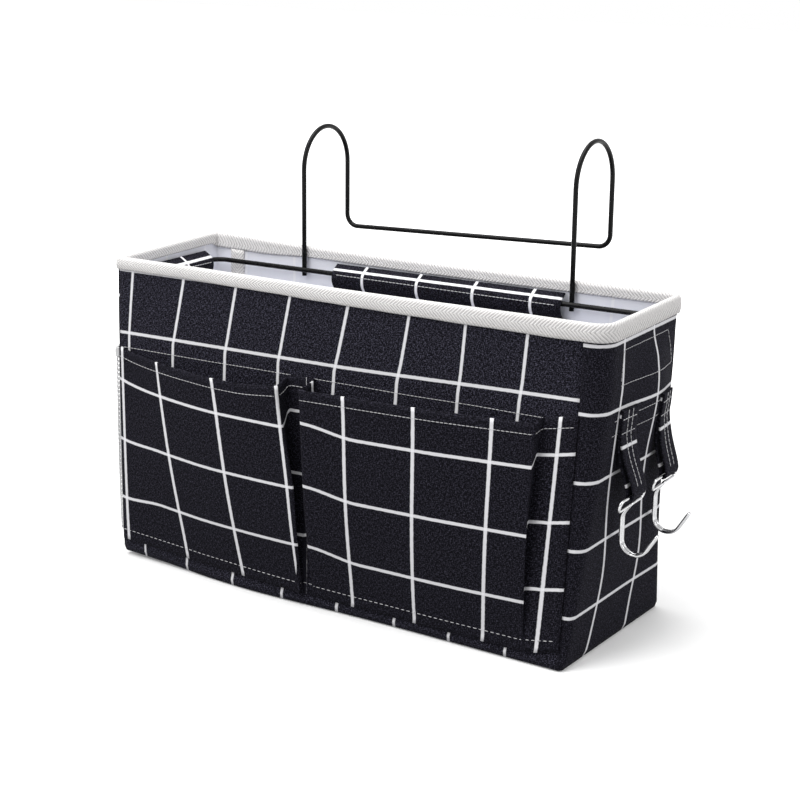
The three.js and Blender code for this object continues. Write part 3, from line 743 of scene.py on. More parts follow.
# Rim binding: one cream cotton twill tape with a herringbone weave,
# folded over the raw rim and sewn through near its outer edge.
TAPE = 1.0
TAPE_GRID = (500, 22)
TAPE_OUTER = 0.8
TAPE_INNER = -3.1
TAPE_LOW = 210
TAPE_CUT = 3.6
TAPE_FOLD = 219.6
TAPE_INNER_LOW = 214
TAPE_INNER_DROP = 3.4
INNER_DROP_RUN = (-95, -155)
INNER_DROP_BACK = (46, 56)
TAPE_RISE = 1.6
TAPE_RISE_RUN = (20, -180)
TAPE_CROWN = 0.45
TAPE_DRIFT = 0.5
DRIFT_WAVES = 5
DRIFT_ACROSS = 3
TAPE_ROW = 0.075
TAPE_ROW_LIFT = 0.42
TAPE_ROW_STOPS = 400
HERRING = 6.4
TWILL = 2.6
TWILL_WAVER = 1.6
RIB_SHOWS = 0.75
YARN_SHOWS = 0.5
CREAM = (0.78, 0.765, 0.755, 1)
CREAM_SHADE = (0.4, 0.387, 0.382, 1)
CREAM_THREAD = (0.78, 0.75, 0.7, 1)

herringbone, given, result = new_group("herringbone_twill", ("Bolt",), (), ("Rib", "Height"))
split = herringbone.nodes.new("ShaderNodeSeparateXYZ")
herringbone.links.new(given["Bolt"], split.inputs[0])
fold = math_step(herringbone, "PINGPONG", split.outputs["Y"], HERRING)
drift = grain_step(herringbone, given["Bolt"], 0.22)
waver = math_step(herringbone, "MULTIPLY_ADD", drift, TWILL_WAVER, fold)
slant = math_step(herringbone, "ADD", split.outputs["X"], waver)
rib = math_step(herringbone, "MULTIPLY_ADD", wave(herringbone, slant, TWILL), 0.5, 0.5)
yarn = grain_step(herringbone, given["Bolt"], 1.4, 2, (1, 0.4, 1))
clear_rib = math_step(herringbone, "MULTIPLY", rib, RIB_SHOWS)
herringbone.links.new(math_step(herringbone, "MULTIPLY_ADD", yarn, YARN_SHOWS, clear_rib), result["Rib"])
herringbone.links.new(rib, result["Height"])

twill_finish, tree, shader = new_finish("cream_twill", roughness=0.85, specular=0.2)
weave = placed_weave(tree, herringbone)
ribbed = ramp_step(tree, weave["Rib"], 0.12, 0.55)
tree.links.new(blend_colours(tree, ribbed, CREAM_SHADE, CREAM), shader.inputs["Base Color"])
raise_surface(tree, shader, weave["Height"], distance=0.3, strength=0.8)

tape_radius = (TAPE_OUTER - TAPE_INNER) / 2
outer_leg = TAPE_FOLD - TAPE_LOW
inner_leg = TAPE_FOLD - TAPE_INNER_LOW
tape_width = outer_leg + math.pi * tape_radius + inner_leg


def tape_low(x, y):
    on_front = eased(-y / HALF_DEPTH)
    return TAPE_LOW + TAPE_CUT * on_front * eased((HALF_LENGTH - x) / BAG_LENGTH)


def tape_inner_low(x, y):
    return TAPE_INNER_LOW - TAPE_INNER_DROP * eased_over(x, INNER_DROP_RUN) * eased_over(y, INNER_DROP_BACK)


def tape_lay(a, b):
    across = b * tape_width
    edge_x, edge_y, along = around(a, BAG_HEIGHT, 0)
    if across < outer_leg:
        share = across / outer_leg
        grow = TAPE_OUTER + TAPE_CROWN * math.sin(math.pi * share)
        z = between(tape_low(edge_x, edge_y), TAPE_FOLD, share)
    elif across < tape_width - inner_leg:
        angle = (across - outer_leg) / tape_radius
        grow = TAPE_INNER + tape_radius * (1 + math.cos(angle))
        z = TAPE_FOLD + tape_radius * math.sin(angle)
    else:
        grow = TAPE_INNER
        z = between(tape_inner_low(edge_x, edge_y), TAPE_FOLD, (1 - b) * tape_width / inner_leg)
    turn = 2 * math.pi * a
    spot = Vector((math.cos(turn) * DRIFT_WAVES, math.sin(turn) * DRIFT_WAVES, DRIFT_ACROSS * b))
    z += TAPE_RISE * eased_over(edge_x, TAPE_RISE_RUN) + TAPE_DRIFT * noise.noise(spot) * (1 - b)
    x, y, _ = around(a, BAG_HEIGHT, grow)
    return settled(x, y, z), (along, across)


def tape_row(b, lift):
    line = []
    for k in range(TAPE_ROW_STOPS + 1):
        share = k / TAPE_ROW_STOPS
        x, y, _ = around(share, BAG_HEIGHT, lift)
        edge_x, edge_y, _ = around(share, BAG_HEIGHT, 0)
        line.append(tape_lay(share, b)[0] + Vector((x - edge_x, y - edge_y, 0)) * MM)
    return line


rim_tape = cut_cloth("rim_tape", *TAPE_GRID, tape_lay, TAPE, 0.0)
fit(rim_tape, twill_finish, "bag", "twill_tape", "rim_binding")
cream_thread, _ = grained_finish(
    "cream_thread", CREAM_SHADE, CREAM_THREAD, roughness=0.75, specular=0.25, scale=THREAD_TWIST, relief=0.1)
rim_row = tape_row(TAPE_ROW, TAPE_ROW_LIFT)
tape_stitches = sew("tape_stitches", [rim_row], "bag", cream_thread, "twill_tape")

# Seam tapes: the same cream twill, narrower, laid over the four upright wall seams inside
# and caught under the rim tape at the top.
SEAM_TAPE = 12
SEAM_TAPE_GRID = (4, 60)
SEAM_TAPE_LOW = 5
SEAM_TAPE_TOP = 212.2
SEAM_TAPE_FACE = 2.6


def seam_tape_lay(side_x, side_y):
    def lay(a, b):
        z = between(SEAM_TAPE_LOW, SEAM_TAPE_TOP, b)
        seam = HALF_LENGTH - (CORNERS["back_right"] if side_x == side_y else seam_inset(z))
        x = side_x * (seam - SEAM_TAPE / 2) + side_y * (0.5 - a) * SEAM_TAPE
        y = side_y * (HALF_DEPTH - SEAM_TAPE_FACE - foot_tuck(z))
        return settled(x, y, z), (z, a * SEAM_TAPE)
    return lay


for side, side_y in (("front", -1), ("back", 1)):
    for end, side_x in (("left", -1), ("right", 1)):
        strip = cut_cloth(f"{side}_{end}_seam_strip", *SEAM_TAPE_GRID, seam_tape_lay(side_x, side_y), TAPE)
        fit(strip, twill_finish, "bag", "twill_tape", f"{side}_{end}_seam_tape")

# Front pockets: one canvas cloth hemmed at the top, tucked at the middle and near the right end,
# sewn into the corner seams and along its foot. The mouths hang open.
POCKET_CLOTH = 1.2
POCKET_ROWS = 44
POCKET_GAP = 0.3
POCKET_TOP = 159
POCKET_FOOT = 11
POCKET_LEFT = 184.7
POCKET_RIGHT = 174.7
POCKET_OPEN = 22
OPEN_REACH = 5
POUCH_OUT = 16.5
POUCH_ROUND = 128
POUCH_BELLY = 2.5
POUCH_CURVE, BELLY_CURVE = 0.9, 1.5
LEFT_DROOP = 7
RIGHT_DROOP = 2.5
DROOP_RUN = (-75, -20)
FOOT_DIP = 3.5
FOOT_DIP_RUN = (-120, 30)
TUCK = -28
TUCK_SLANT = 10
TUCK_PULL = 150
TUCK_CLOSES = 11
TUCK_CLOSED_BELOW = 0.55
TUCK_REACH = 60
TUCK_OVERLAP = 1.5
PLEAT_FOLD = 150
PLEAT_OPEN = 9
PLEAT_UNDER = 6
PLEAT_FLATTENS = 9
PLEAT_EDGE = 2
PLEAT_CURVE = 0.7
SEAM_PULL = 0.2
SEAM_CATCH = 0.6
HEM_ROW = 7
FOOT_ROW = 7.5
POCKET_ROW_STOPS = 600
POCKET_ROW_LIFT = 0.12


def rounded(corners, fine=0.16):
    line = [corners[0][0]]
    for (before, _), (here, radius), (after, _) in zip(corners, corners[1:], corners[2:]):
        into = (before - here).normalized()
        out = (after - here).normalized()
        turn = math.pi - into.angle(out)
        reach = radius * math.tan(turn / 2)
        centre = here + (into + out).normalized() * math.hypot(reach, radius)
        spoke = here + into * reach - centre
        axis = spoke.cross(here + out * reach - centre).normalized()
        steps = max(3, round(turn / fine))
        for k in range(steps + 1):
            line.append(centre + Matrix.Rotation(turn * k / steps, 3, axis) @ spoke)
    line.append(corners[-1][0])
    return line


def split_runs(line, longest):
    parts = [line[0]]
    for start, end in zip(line, line[1:]):
        count = max(1, math.ceil((end - start).length / longest))
        parts += [start.lerp(end, (k + 1) / count) for k in range(count)]
    return parts


def flat_corner(x, y, radius=0.0):
    return Vector((x, y, 0)), radius


pocket_section = split_runs(rounded([
    flat_corner(-POCKET_LEFT, 0),
    flat_corner(-93.1, POUCH_OUT, POUCH_ROUND),
    flat_corner(TUCK - 9, POCKET_OPEN - 3, 2.5),
    flat_corner(TUCK - 13, 0, 2),
    flat_corner(TUCK + 8, 0, 2),
    flat_corner(TUCK + 9, POCKET_OPEN, 2.5),
    flat_corner(82, POUCH_OUT, POUCH_ROUND),
    flat_corner(PLEAT_FOLD, PLEAT_OPEN, 1.2),
    flat_corner(PLEAT_FOLD + PLEAT_EDGE, 0, 0.6),
    flat_corner(POCKET_RIGHT, 0),
]), 4)

# the lengths along the cloth at which it folds and comes back to the wall
pocket_lengths = lengths_along(pocket_section)
pocket_columns = len(pocket_section) - 1
stops = list(zip(pocket_section, pocket_lengths))
on_wall = [length for point, length in stops if point.y < 0.5]
pleat_fold = min(length for point, length in stops if point.x > PLEAT_FOLD - 0.8)
pleat_back = min(length for length in on_wall if length > pleat_fold)
left_fold = max((point.x, length) for point, length in stops if point.x < TUCK and point.y > 5)[1]
left_return = min(length for length in on_wall if length > left_fold)
right_fold = min(length for point, length in stops if point.x > TUCK and point.y > POCKET_OPEN - 4)


def pleat_share(along):
    if along < pleat_back:
        return max(0, (along - pleat_fold) / (pleat_back - pleat_fold))
    return 1 - eased((along - pleat_back) / PLEAT_FLATTENS)


def tuck_closing(along, b):
    closed = eased((1 - b) / TUCK_CLOSED_BELOW)
    if along < left_fold:
        return closed * eased(1 - (left_fold - along) / TUCK_REACH)
    return closed * max(0, 1 - (along - left_fold) / (left_return - left_fold))


# where the check lies on each pouch: the cloth is cut on its own lines, and droops and gathers at the tuck
POCKET_PRINT = (9, 135)
POCKET_PRINT_SCALE = 0.88
PRINT_DROOP = 8
DROOP_AT_FOOT = 0.4
TUCK_PRINT = 0.6
TUCK_GATHER = 0.4
GATHER_BELOW = (0.95, 0.85)
TUCK_PRINT_DROP = 6
TUCK_DROP_RUN = (25, -20)
RIGHT_SHIFT = 7.2
RIGHT_STRETCH = 2.8
RIGHT_STRETCH_MIDDLE, RIGHT_STRETCH_REACH = 102, 25
PLEAT_RUN = (PLEAT_FOLD, PLEAT_FOLD + 3)
PLEAT_SLIP = 3
PLEAT_STRETCH = 0.05
LEFT_FOLD_PRINT = -75
LEFT_SPREAD_RUN = 90
LEFT_SHIFT = 28.7
LEFT_SPREAD = 5.5
LEFT_LEAN, LEFT_MORE_LEAN = 3, 16
EDGE_PRINT_RUN = (-167, -201)
EDGE_SHIFT = 13.6
EDGE_UPRIGHT = 0.9
EDGE_RUN = (-185, -145)
EDGE_STRETCH = 0.06

pocket_zero = max(length for point, length in stops if point.x < POCKET_PRINT[0])


def right_pouch_print(along, x, up, b):
    flat = eased_over(x, PLEAT_RUN)
    into_tuck = max(0, (right_fold - pocket_zero) * POCKET_PRINT_SCALE - along)
    along += TUCK_GATHER * into_tuck * eased_over(b, GATHER_BELOW)
    bulge = RIGHT_STRETCH * swell(along, RIGHT_STRETCH_MIDDLE, RIGHT_STRETCH_REACH)
    across = along - RIGHT_SHIFT - bulge + PLEAT_SLIP * flat * (1 - b)
    return across, up * (1 + PLEAT_STRETCH * flat) - TUCK_PRINT_DROP * eased_over(x, TUCK_DROP_RUN)


def left_pouch_print(along, x, up, b, closing):
    spread = clamped((LEFT_FOLD_PRINT - along) / LEFT_SPREAD_RUN)
    edge = eased_over(along, EDGE_PRINT_RUN)
    lean = (LEFT_LEAN + LEFT_MORE_LEAN * math.sqrt(spread)) * (1 - EDGE_UPRIGHT * edge)
    across = along + LEFT_SHIFT + LEFT_SPREAD * spread - lean * (1 - b) - EDGE_SHIFT * edge
    across += TUCK_PRINT * TUCK_CLOSES * closing
    return across, up * (1 + EDGE_STRETCH * eased_over(x, EDGE_RUN))


def pocket_lay(a, b, lift=0.0):
    k = min(pocket_columns - 1, int(a * pocket_columns + 1e-6))
    share = a * pocket_columns - k
    point = pocket_section[k].lerp(pocket_section[k + 1], share)
    along = between(pocket_lengths[k], pocket_lengths[k + 1], share)
    opened = 1 - math.exp(-point.y / OPEN_REACH)
    closing = tuck_closing(along, b)
    foot = POCKET_FOOT - FOOT_DIP * eased_over(point.x, FOOT_DIP_RUN)
    droop = between(LEFT_DROOP, RIGHT_DROOP, eased_over(point.x, DROOP_RUN))
    rise = SEAM_PULL * max(0, point.x - PLEAT_FOLD - PLEAT_EDGE)
    z = between(foot, POCKET_TOP - droop * opened, b) + rise
    out = POCKET_GAP + POCKET_CLOTH + lift + point.y * b ** POUCH_CURVE
    out += POUCH_BELLY * opened * math.sin(math.pi * b) ** BELLY_CURVE
    out += TUCK_OVERLAP * closing * (1 - b)
    if point.x < 0:
        x = point.x * (HALF_LENGTH - corner_radius("front_left", z)) / POCKET_LEFT
    else:
        x = point.x * (HALF_LENGTH - seam_inset(z) + SEAM_CATCH) / POCKET_RIGHT
    x += TUCK_SLANT * (1 - b) * max(0, 1 - abs(point.x - TUCK) / TUCK_PULL)
    x += TUCK_CLOSES * closing
    x -= PLEAT_UNDER * pleat_share(along) * math.sin(math.pi * clamped(b)) ** PLEAT_CURVE
    printed = (along - pocket_zero) * POCKET_PRINT_SCALE
    up = z - rise + PRINT_DROOP * opened * between(DROOP_AT_FOOT, 1, b) - POCKET_PRINT[1]
    place = settled(x, -HALF_DEPTH - out, z)
    if point.x > TUCK:
        return place, right_pouch_print(printed, point.x, up, b)
    return place, left_pouch_print(printed, point.x, up, b, closing)


def lay_row(lay, first, last, row_stops, lift):
    row = []
    for k in range(row_stops + 1):
        a = between(first[0], last[0], k / row_stops)
        b = between(first[1], last[1], k / row_stops)
        row.append(lay(a, b, lift)[0])
    return row


pocket_cloth = cut_cloth("pocket_cloth", pocket_columns, POCKET_ROWS, pocket_lay, POCKET_CLOTH)
fit(pocket_cloth, canvas_finish, "bag", "grid_canvas", "front_pocket_cloth")
hem = 1 - HEM_ROW / (POCKET_TOP - POCKET_FOOT)
foot = FOOT_ROW / (POCKET_TOP - POCKET_FOOT)
hem_row = lay_row(pocket_lay, (0, hem), (1, hem), POCKET_ROW_STOPS, POCKET_ROW_LIFT)
foot_row = lay_row(pocket_lay, (0, foot), (1, foot), POCKET_ROW_STOPS, POCKET_ROW_LIFT)
hem_stitches = sew("hem_stitches", [hem_row], "bag", thread_finish, "grid_canvas")
foot_stitches = sew(
    "foot_stitches", [foot_row], "bag", thread_finish, "grid_canvas", stitch=3, gap=1.3, thread=0.55)

# Net pocket: white warp-knit net round the left end, sewn into the seams and the wall,
# with a soft knitted elastic round its mouth.
NET = 0.78
NET_CELLS = 40
NET_FOOT = 18
NET_TOP = 150.7
NET_REST = 1.3
NET_MOUTH = 6
NET_BELLY = 5
NET_CURVE = 0.8
NET_SHADE = (0.55, 0.55, 0.56, 1)
NET_WHITE = (0.8, 0.8, 0.8, 1)
ELASTIC_LOW = 151
ELASTIC_TOP = 158
ELASTIC = 2.0
ELASTIC_GRID = (150, 8)
ELASTIC_OUT = 0.8
RUFFLES = 38
RUFFLE_OUT = 0.35
RUFFLE_UP = 0.3
ELASTIC_SHADE = (0.5, 0.5, 0.51, 1)
ELASTIC_PALE = (0.84, 0.84, 0.84, 1)


def net_slack(share, level):
    out = NET_MOUTH * level + NET_BELLY * math.sin(math.pi * level)
    return math.sin(math.pi * share) ** NET_CURVE * out


def net_lay(a, b):
    z = between(NET_FOOT, NET_TOP, b)
    x, y, _ = left_end(a, z, NET_REST + net_slack(a, b))
    return settled(x, y, z)


def elastic_lay(a, b):
    z = between(ELASTIC_LOW, ELASTIC_TOP, b)
    turn = 2 * math.pi * a * RUFFLES
    ruffle = RUFFLE_OUT * math.sin(turn) * math.sin(math.pi * b)
    x, y, along = left_end(a, z, NET_REST + ELASTIC_OUT + net_slack(a, 1) + ruffle)
    return settled(x, y, z + RUFFLE_UP * math.sin(turn + 1)), (along, z)


net_finish, _ = grained_finish(
    "white_net", NET_SHADE, NET_WHITE, roughness=0.6, specular=0.35, scale=700, relief=0.15)
mesh = bmesh.new()
bmesh.ops.create_grid(mesh, x_segments=NET_CELLS, y_segments=NET_CELLS, size=0.5)
straight_edges = [edge for edge in mesh.edges if not edge.is_boundary]
bmesh.ops.poke(mesh, faces=mesh.faces)
bmesh.ops.dissolve_edges(mesh, edges=straight_edges, use_verts=False)
for vert in mesh.verts:
    vert.co = net_lay(vert.co.x + 0.5, vert.co.y + 0.5)
net_cloth = finished("net_cloth", mesh, smooth=False)
strands = net_cloth.modifiers.new("strands", "WIREFRAME")
strands.thickness = NET * MM
strands.use_boundary = True
strands.use_even_offset = False
fit(net_cloth, net_finish, "bag", "white_net", "mesh_pocket_net")

elastic_finish, tree, shader = new_finish("soft_elastic", roughness=0.85, specular=0.2)
spot = tree.nodes.new("ShaderNodeTexCoord").outputs["Object"]
fuzz = grain_step(tree, spot, 1200, 3)
ribs = grain_step(tree, spot, 260, 2, (1, 1, 0.1))
tree.links.new(blend_colours(tree, ribs, ELASTIC_SHADE, ELASTIC_PALE), shader.inputs["Base Color"])
raise_surface(tree, shader, math_step(tree, "ADD", fuzz, ribs), distance=0.4)
elastic_band = cut_cloth("elastic_band", *ELASTIC_GRID, elastic_lay, ELASTIC)
fit(elastic_band, elastic_finish, "bag", "elastic", "mesh_pocket_elastic")

# Wire frame: a ring of black painted steel wire just under the rim, closed by a butt joint behind the
# middle flap, and the hanger bent from one length of the same wire, its two uprights welded behind the ring.
FRAME_WIRE = 3.5
WIRE_SIDES = 5
WIRE_FACET = 0.11
WIRE_RUN = 0.02
BUTT_GAP = 0.15
RING_X = 182.65
RING_Y = 48.15
RING_Z = 206.5
RING_CORNER = 10
LEFT_HOOK_X = -104.5
RIGHT_HOOK_X = 114.5
UPRIGHT_Y = 51.75
REAR_Y = 110.75
HOOK_BEND = 29.5
LEFT_HOOK_TOP = 309
RIGHT_HOOK_TOP = 314
REAR_BAR_LEFT = 230.6
REAR_BAR_RIGHT = 236.4
REAR_BAR_BEND = 9
UPRIGHT_FOOT = 201.5
PAINT_BLACK = (0.002, 0.002, 0.0022, 1)
PAINT_WORN = (0.007, 0.007, 0.0075, 1)


def wire_corner(x, y, z, radius=0.0):
    return Vector((x, y, z)) * MM, radius * MM


def bent_wire(name, corners, diameter):
    shape = bpy.data.curves.new(name, "CURVE")
    shape.dimensions = "3D"
    shape.bevel_depth = diameter * MM / 2
    shape.bevel_resolution = WIRE_SIDES
    shape.use_fill_caps = True
    line = split_runs(rounded(corners, WIRE_FACET), WIRE_RUN)
    run = shape.splines.new("POLY")
    run.points.add(len(line) - 1)
    for stop, place in zip(run.points, line):
        stop.co = (*place, 1)
    drawn = bpy.data.objects.new(name, shape)
    data = bpy.data.meshes.new_from_object(drawn)
    bpy.data.objects.remove(drawn)
    data.name = name
    wire = bpy.data.objects.new(name, data)
    scene.collection.objects.link(wire)
    for face in data.polygons:
        face.use_smooth = len(face.vertices) < 5
    return wire


paint_finish, shader = grained_finish(
    "black_wire_paint", PAINT_BLACK, PAINT_WORN, roughness=0.3, specular=0.1,
    scale=420, detail=3, relief=0.03, strength=0.5, polish=(0.22, 0.38))
shader.inputs["Coat Weight"].default_value = 0.03
shader.inputs["Coat Roughness"].default_value = 0.15
ring_wire = bent_wire("ring_wire", [
    wire_corner(BUTT_GAP, RING_Y, RING_Z),
    wire_corner(RING_X, RING_Y, RING_Z, RING_CORNER),
    wire_corner(RING_X, -RING_Y, RING_Z, RING_CORNER),
    wire_corner(-RING_X, -RING_Y, RING_Z, RING_CORNER),
    wire_corner(-RING_X, RING_Y, RING_Z, RING_CORNER),
    wire_corner(-BUTT_GAP, RING_Y, RING_Z),
], FRAME_WIRE)
fit(ring_wire, paint_finish, "bag", "painted_wire", "frame_ring")


def hanger_hook(x, top, bar):
    return [
        wire_corner(x, UPRIGHT_Y, UPRIGHT_FOOT),
        wire_corner(x, UPRIGHT_Y, top, HOOK_BEND),
        wire_corner(x, REAR_Y, top, HOOK_BEND),
        wire_corner(x, REAR_Y, bar, REAR_BAR_BEND),
    ]


left_hook = hanger_hook(LEFT_HOOK_X, LEFT_HOOK_TOP, REAR_BAR_LEFT)
right_hook = hanger_hook(RIGHT_HOOK_X, RIGHT_HOOK_TOP, REAR_BAR_RIGHT)
hanger = bent_wire("hanger", [*left_hook, *right_hook[::-1]], FRAME_WIRE)
fit(hanger, paint_finish, "bag", "painted_wire", "hanger_wire")

# Flaps: three canvas flaps sewn under the rim tape and folded over the ring,
# each held to the wall by a pair of grip strips. The flap line goes from its sewn edge to its free edge.
FLAP_CLOTH = 1.2
FLAP_GRID = (48, 44)
LINING_FACE_X = 189.7
LINING_FACE_Y = 55.2
FLAP_LINE = (
    (2.3, 212.8), (5.9, 210.6), (9.1, 208.0), (10, 204.5), (9.4, 200.5),
    (6.4, 195.5), (3.9, 191), (3.9, 183), (3.9, 175),
)
FLAP_SLOPE = 0.5
CENTRE_FLAP = (-76, 109)
END_FLAP = (-24, 40)
FLAP_ROW_STOPS = 80
TOP_ROW = (10, 11)
TOP_ROW_ENDS = (0.02, 0.98)
TOP_ROW_LIFT = 0.75
STRIP_ROWS = (4.5, 19.5)
STRIP_ROW_ENDS = (0.03, 0.97)
STRIP_ROW_LIFT = 0.7
GRIP_SHADE = (0.004, 0.004, 0.004, 1)
GRIP_PALE = (0.05, 0.05, 0.052, 1)


def smooth_line(points, steps):
    places = [Vector((*point, 0)) for point in points]
    places = [places[0] * 2 - places[1], *places, places[-1] * 2 - places[-2]]
    line = []
    for before, start, end, after in zip(places, places[1:], places[2:], places[3:]):
        for k in range(steps):
            t = k / steps
            bend = (end - before) * t + (before * 2 - start * 5 + end * 4 - after) * t * t
            line.append(start + (bend + (start * 3 - before - end * 3 + after) * t ** 3) / 2)
    return line + [places[-2]]


def walk_off(line, lengths, distance, lift, slope_reach):
    ahead = walk(line, lengths, min(lengths[-1], distance + slope_reach))
    slope = ahead - walk(line, lengths, max(0, distance - slope_reach))
    return Vector((slope.y, -slope.x, 0)).normalized() * lift


flap_line = smooth_line(FLAP_LINE, 6)[::-1]
flap_lengths = lengths_along(flap_line)
flap_length = flap_lengths[-1]


def flap_place(wall, along, inward, z):
    if wall == "centre":
        return Vector((along, LINING_FACE_Y - inward, z)) * MM
    if wall == "left":
        return Vector((inward - LINING_FACE_X, along, z)) * MM
    return Vector((LINING_FACE_X - inward, -along, z)) * MM


def flap_lay(wall, first, last, print_place):
    def lay(a, b, lift=0.0):
        along = between(first, last, a)
        up_flap = b * flap_length
        point = walk(flap_line, flap_lengths, up_flap)
        out = walk_off(flap_line, flap_lengths, up_flap, lift, FLAP_SLOPE)
        place = flap_place(wall, along, point.x + out.x, point.y + out.y)
        return place, (along - print_place[0], up_flap - flap_length + print_place[1])
    return lay


grip_finish, _ = grained_finish(
    "grip_strip", GRIP_SHADE, GRIP_PALE, roughness=0.9, specular=0.2, scale=1500, relief=0.6)
for wall, first, last, print_place in (
    ("centre", *CENTRE_FLAP, (-50, 6)),
    ("left", *END_FLAP, (10, 7)),
    ("right", -END_FLAP[1], -END_FLAP[0], (0, 7)),
):
    lay = flap_lay(wall, first, last, print_place)
    flap = cut_cloth(f"{wall}_flap_cloth", *FLAP_GRID, lay, FLAP_CLOTH, 0.0)
    fit(flap, canvas_finish, f"{wall}_flap", "grid_canvas", f"{wall}_flap")
    top_ends = [(a, 1 - down / flap_length) for a, down in zip(TOP_ROW_ENDS, TOP_ROW)]
    flap_rows = [lay_row(lay, *top_ends, FLAP_ROW_STOPS, TOP_ROW_LIFT)]
    for height in STRIP_ROWS:
        strip_ends = [(a, height / flap_length) for a in STRIP_ROW_ENDS]
        flap_rows.append(lay_row(lay, *strip_ends, FLAP_ROW_STOPS, STRIP_ROW_LIFT))
    rows = sew(f"{wall}_flap_stitches", flap_rows, f"{wall}_flap", thread_finish, "grid_canvas")
    for node in (f"{wall}_loop_strip", f"{wall}_hook_strip"):
        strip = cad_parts[node]
        strip.data.materials.clear()
        strip.data.materials.append(grip_finish)

# End wall stitching: the same light thread, sewn through both end walls in a box round the grip strip,
# and in two rows across the right one that hold the hook loops.
BOX_STITCH = ((-36, 179.5), (39, 179.5), (35, 202), (-34, 202), (-36, 179.5))
TAB_ROWS = (((-38, 157), (44, 160)), ((-39, 147.5), (44, 150)))
END_ROW_STOPS = 24
END_ROW_WAVER = 0.3
END_ROW_WAVE = 7


def end_wall_line(lay, corners, side, places):
    line = []
    for (first_y, first_z), (last_y, last_z) in zip(places, places[1:]):
        for k in range(END_ROW_STOPS + 1):
            y = between(first_y, last_y, k / END_ROW_STOPS)
            z = between(first_z, last_z, k / END_ROW_STOPS)
            z += END_ROW_WAVER * noise.noise(Vector((y / END_ROW_WAVE, z / END_ROW_WAVE, 2)))
            wrap, bend, flat, far_bend = end_runs(z, *corners)
            along = wrap + bend - corner_radius(corners[0], z) + HALF_DEPTH + side * y
            line.append(lay(along / (wrap + bend + flat + far_bend), wall_share(z), ROW_LIFT)[0])
    return line


right_lines = [end_wall_line(right_wall_lay, RIGHT_CORNERS, 1, places) for places in (BOX_STITCH, *TAB_ROWS)]
left_line = end_wall_line(left_wall_lay, LEFT_CORNERS, -1, BOX_STITCH)
right_rows = sew("right_wall_stitches", right_lines, "bag", thread_finish, "grid_canvas")
left_rows = sew("left_wall_stitches", [left_line], "bag", thread_finish, "grid_canvas")

# Hook loops: two canvas strips folded double and sewn to the right end,
# each carrying a hook of doubled chrome wire that swings in the fold.
TAB_WIDTH = 20
TAB_COLUMNS = 10
TAB_TOP = 163
TAB_SEWN = 144
TAB_FLAT = TAB_SEWN + 9
TAB_SLACK_Z = 122
TAB_SLACK = 2.6
TAB_NECK_Z = 111
EYE_Z = 108
TAB_HANG = 9
TAB_TURN = 2.1
TAB_PLIES = (0.9, 2.4)
PLY_EASES = (0.2, 0.3)
TAB_FREE = (112, 138)
TAB_PRINT = (30, 24)
TAB_SLOPE = 0.4
TABS = {"front": -26, "rear": 27}
TAB_THREAD = 0.7
TAB_LINES = (0.36, 0.64)
TAB_LINE_SHORT = 6
TAB_LINE_STOPS, TAB_LINE_LIFT = 60, 0.7
TAB_CROSS_ROWS = (5.5, 15)
TAB_CROSS_STOPS, TAB_CROSS_LIFT = 20, 0.75
HOOK_SLIDE = 4
HOOK_WIRE = 2.2
EYE_SIDE = 19
EYE_DROP = 7
EYE_LEAN = 2
EYE_BEND = 3.4
NECK_BEND = 2
STEM_SIDE = 1.5
STEM_X = -7
J_BOTTOM = -40
J_SIDE = 8
J_BEND = 9
TIP_X = 17.54
TIP_Z = -24.74
CHROME_SHADE = (0.4, 0.4, 0.41, 1)
CHROME_PALE = (0.6, 0.6, 0.61, 1)

inner_ply, outer_ply = TAB_PLIES
inner_ease, outer_ease = PLY_EASES
tab_points = [(outer_ply, TAB_TOP), (outer_ply, TAB_FLAT), (outer_ply + outer_ease, TAB_SEWN)]
tab_points += [(TAB_HANG + TAB_TURN - TAB_SLACK, TAB_SLACK_Z), (TAB_HANG + TAB_TURN, TAB_NECK_Z)]
for k in range(7):
    angle = -math.pi * k / 6
    tab_points.append((TAB_HANG + TAB_TURN * math.cos(angle), EYE_Z + TAB_TURN * math.sin(angle)))
tab_points += [(TAB_HANG - TAB_TURN, TAB_NECK_Z), (TAB_HANG - TAB_TURN - TAB_SLACK, TAB_SLACK_Z)]
tab_points += [(inner_ply + inner_ease, TAB_SEWN), (inner_ply, TAB_FLAT), (inner_ply, TAB_TOP)]
tab_line = smooth_line(tab_points, 5)[::-1]
tab_lengths = lengths_along(tab_line)
tab_length = tab_lengths[-1]


def tab_lay(middle):
    def lay(a, b, lift=0.0):
        down = b * tab_length
        point = walk(tab_line, tab_lengths, down)
        out = walk_off(tab_line, tab_lengths, down, lift, TAB_SLOPE)
        y = middle + (a - 0.5) * TAB_WIDTH
        follow = end_bulge(y, point.y) - slump_shift(HALF_LENGTH, y, point.y)
        x = HALF_LENGTH + point.x + out.x + follow * eased_over(point.y, TAB_FREE)
        place = Vector((x, y, point.y + out.y)) * MM
        return place, (a * TAB_WIDTH - TAB_PRINT[0], down - tab_length + TAB_PRINT[1])
    return lay


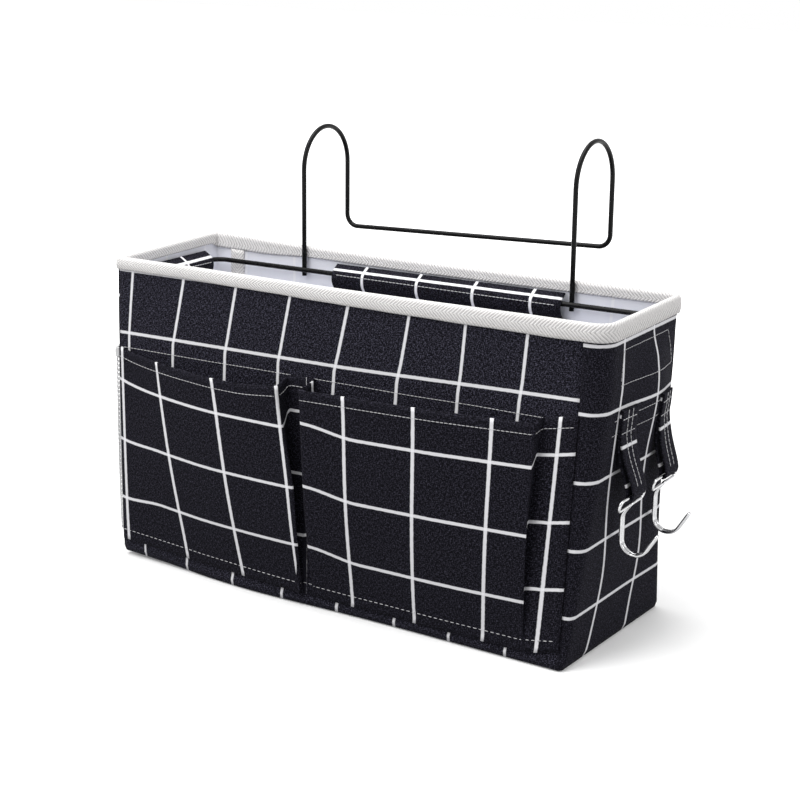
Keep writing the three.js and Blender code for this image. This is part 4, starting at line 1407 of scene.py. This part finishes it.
def half_hook(side, y):
    eye_x, side_y, stem_y = HALF_LENGTH + TAB_HANG, y + side * EYE_SIDE, y + side * STEM_SIDE
    return [
        wire_corner(eye_x, y + side * BUTT_GAP, EYE_Z),
        wire_corner(eye_x, side_y, EYE_Z, EYE_BEND),
        wire_corner(eye_x - EYE_LEAN, side_y, EYE_Z - EYE_DROP, EYE_BEND),
        wire_corner(eye_x - EYE_LEAN, stem_y, EYE_Z - EYE_DROP, NECK_BEND),
        wire_corner(eye_x + STEM_X, stem_y, EYE_Z - 2 * EYE_DROP, J_BEND),
        wire_corner(eye_x + STEM_X, stem_y, EYE_Z + J_BOTTOM, J_BEND),
        wire_corner(eye_x + J_SIDE, stem_y, EYE_Z + J_BOTTOM, J_BEND),
        wire_corner(eye_x + TIP_X, stem_y, EYE_Z + TIP_Z, STEM_SIDE),
    ]


chrome_finish, shader = grained_finish(
    "chrome_wire", CHROME_SHADE, CHROME_PALE, roughness=0.12, specular=0.5,
    scale=500, detail=3, polish=(0.05, 0.15))
shader.inputs["Metallic"].default_value = 1
for name, middle in TABS.items():
    lay = tab_lay(middle)
    loop = cut_cloth(f"{name}_loop_cloth", TAB_COLUMNS, len(tab_line) - 1, lay, FLAP_CLOTH, 0.0)
    fit(loop, canvas_finish, "bag", "grid_canvas", f"{name}_hook_tab")
    line_end = 1 - (tab_length / 2 - TAB_LINE_SHORT) / tab_length
    loop_rows = [lay_row(lay, (a, 1), (a, line_end), TAB_LINE_STOPS, TAB_LINE_LIFT) for a in TAB_LINES]
    for drop in TAB_CROSS_ROWS:
        level = 1 - drop / tab_length
        loop_rows.append(lay_row(lay, (0, level), (1, level), TAB_CROSS_STOPS, TAB_CROSS_LIFT))
    sewn = sew(f"{name}_loop_stitches", loop_rows, "bag", thread_finish, "grid_canvas", thread=TAB_THREAD)
    y = middle - HOOK_SLIDE
    hook = bent_wire(f"{name}_small_hook", [*half_hook(1, y), *half_hook(-1, y)[::-1]], HOOK_WIRE)
    fit(hook, chrome_finish, f"{name}_hook", "chrome_wire", f"{name}_hook")
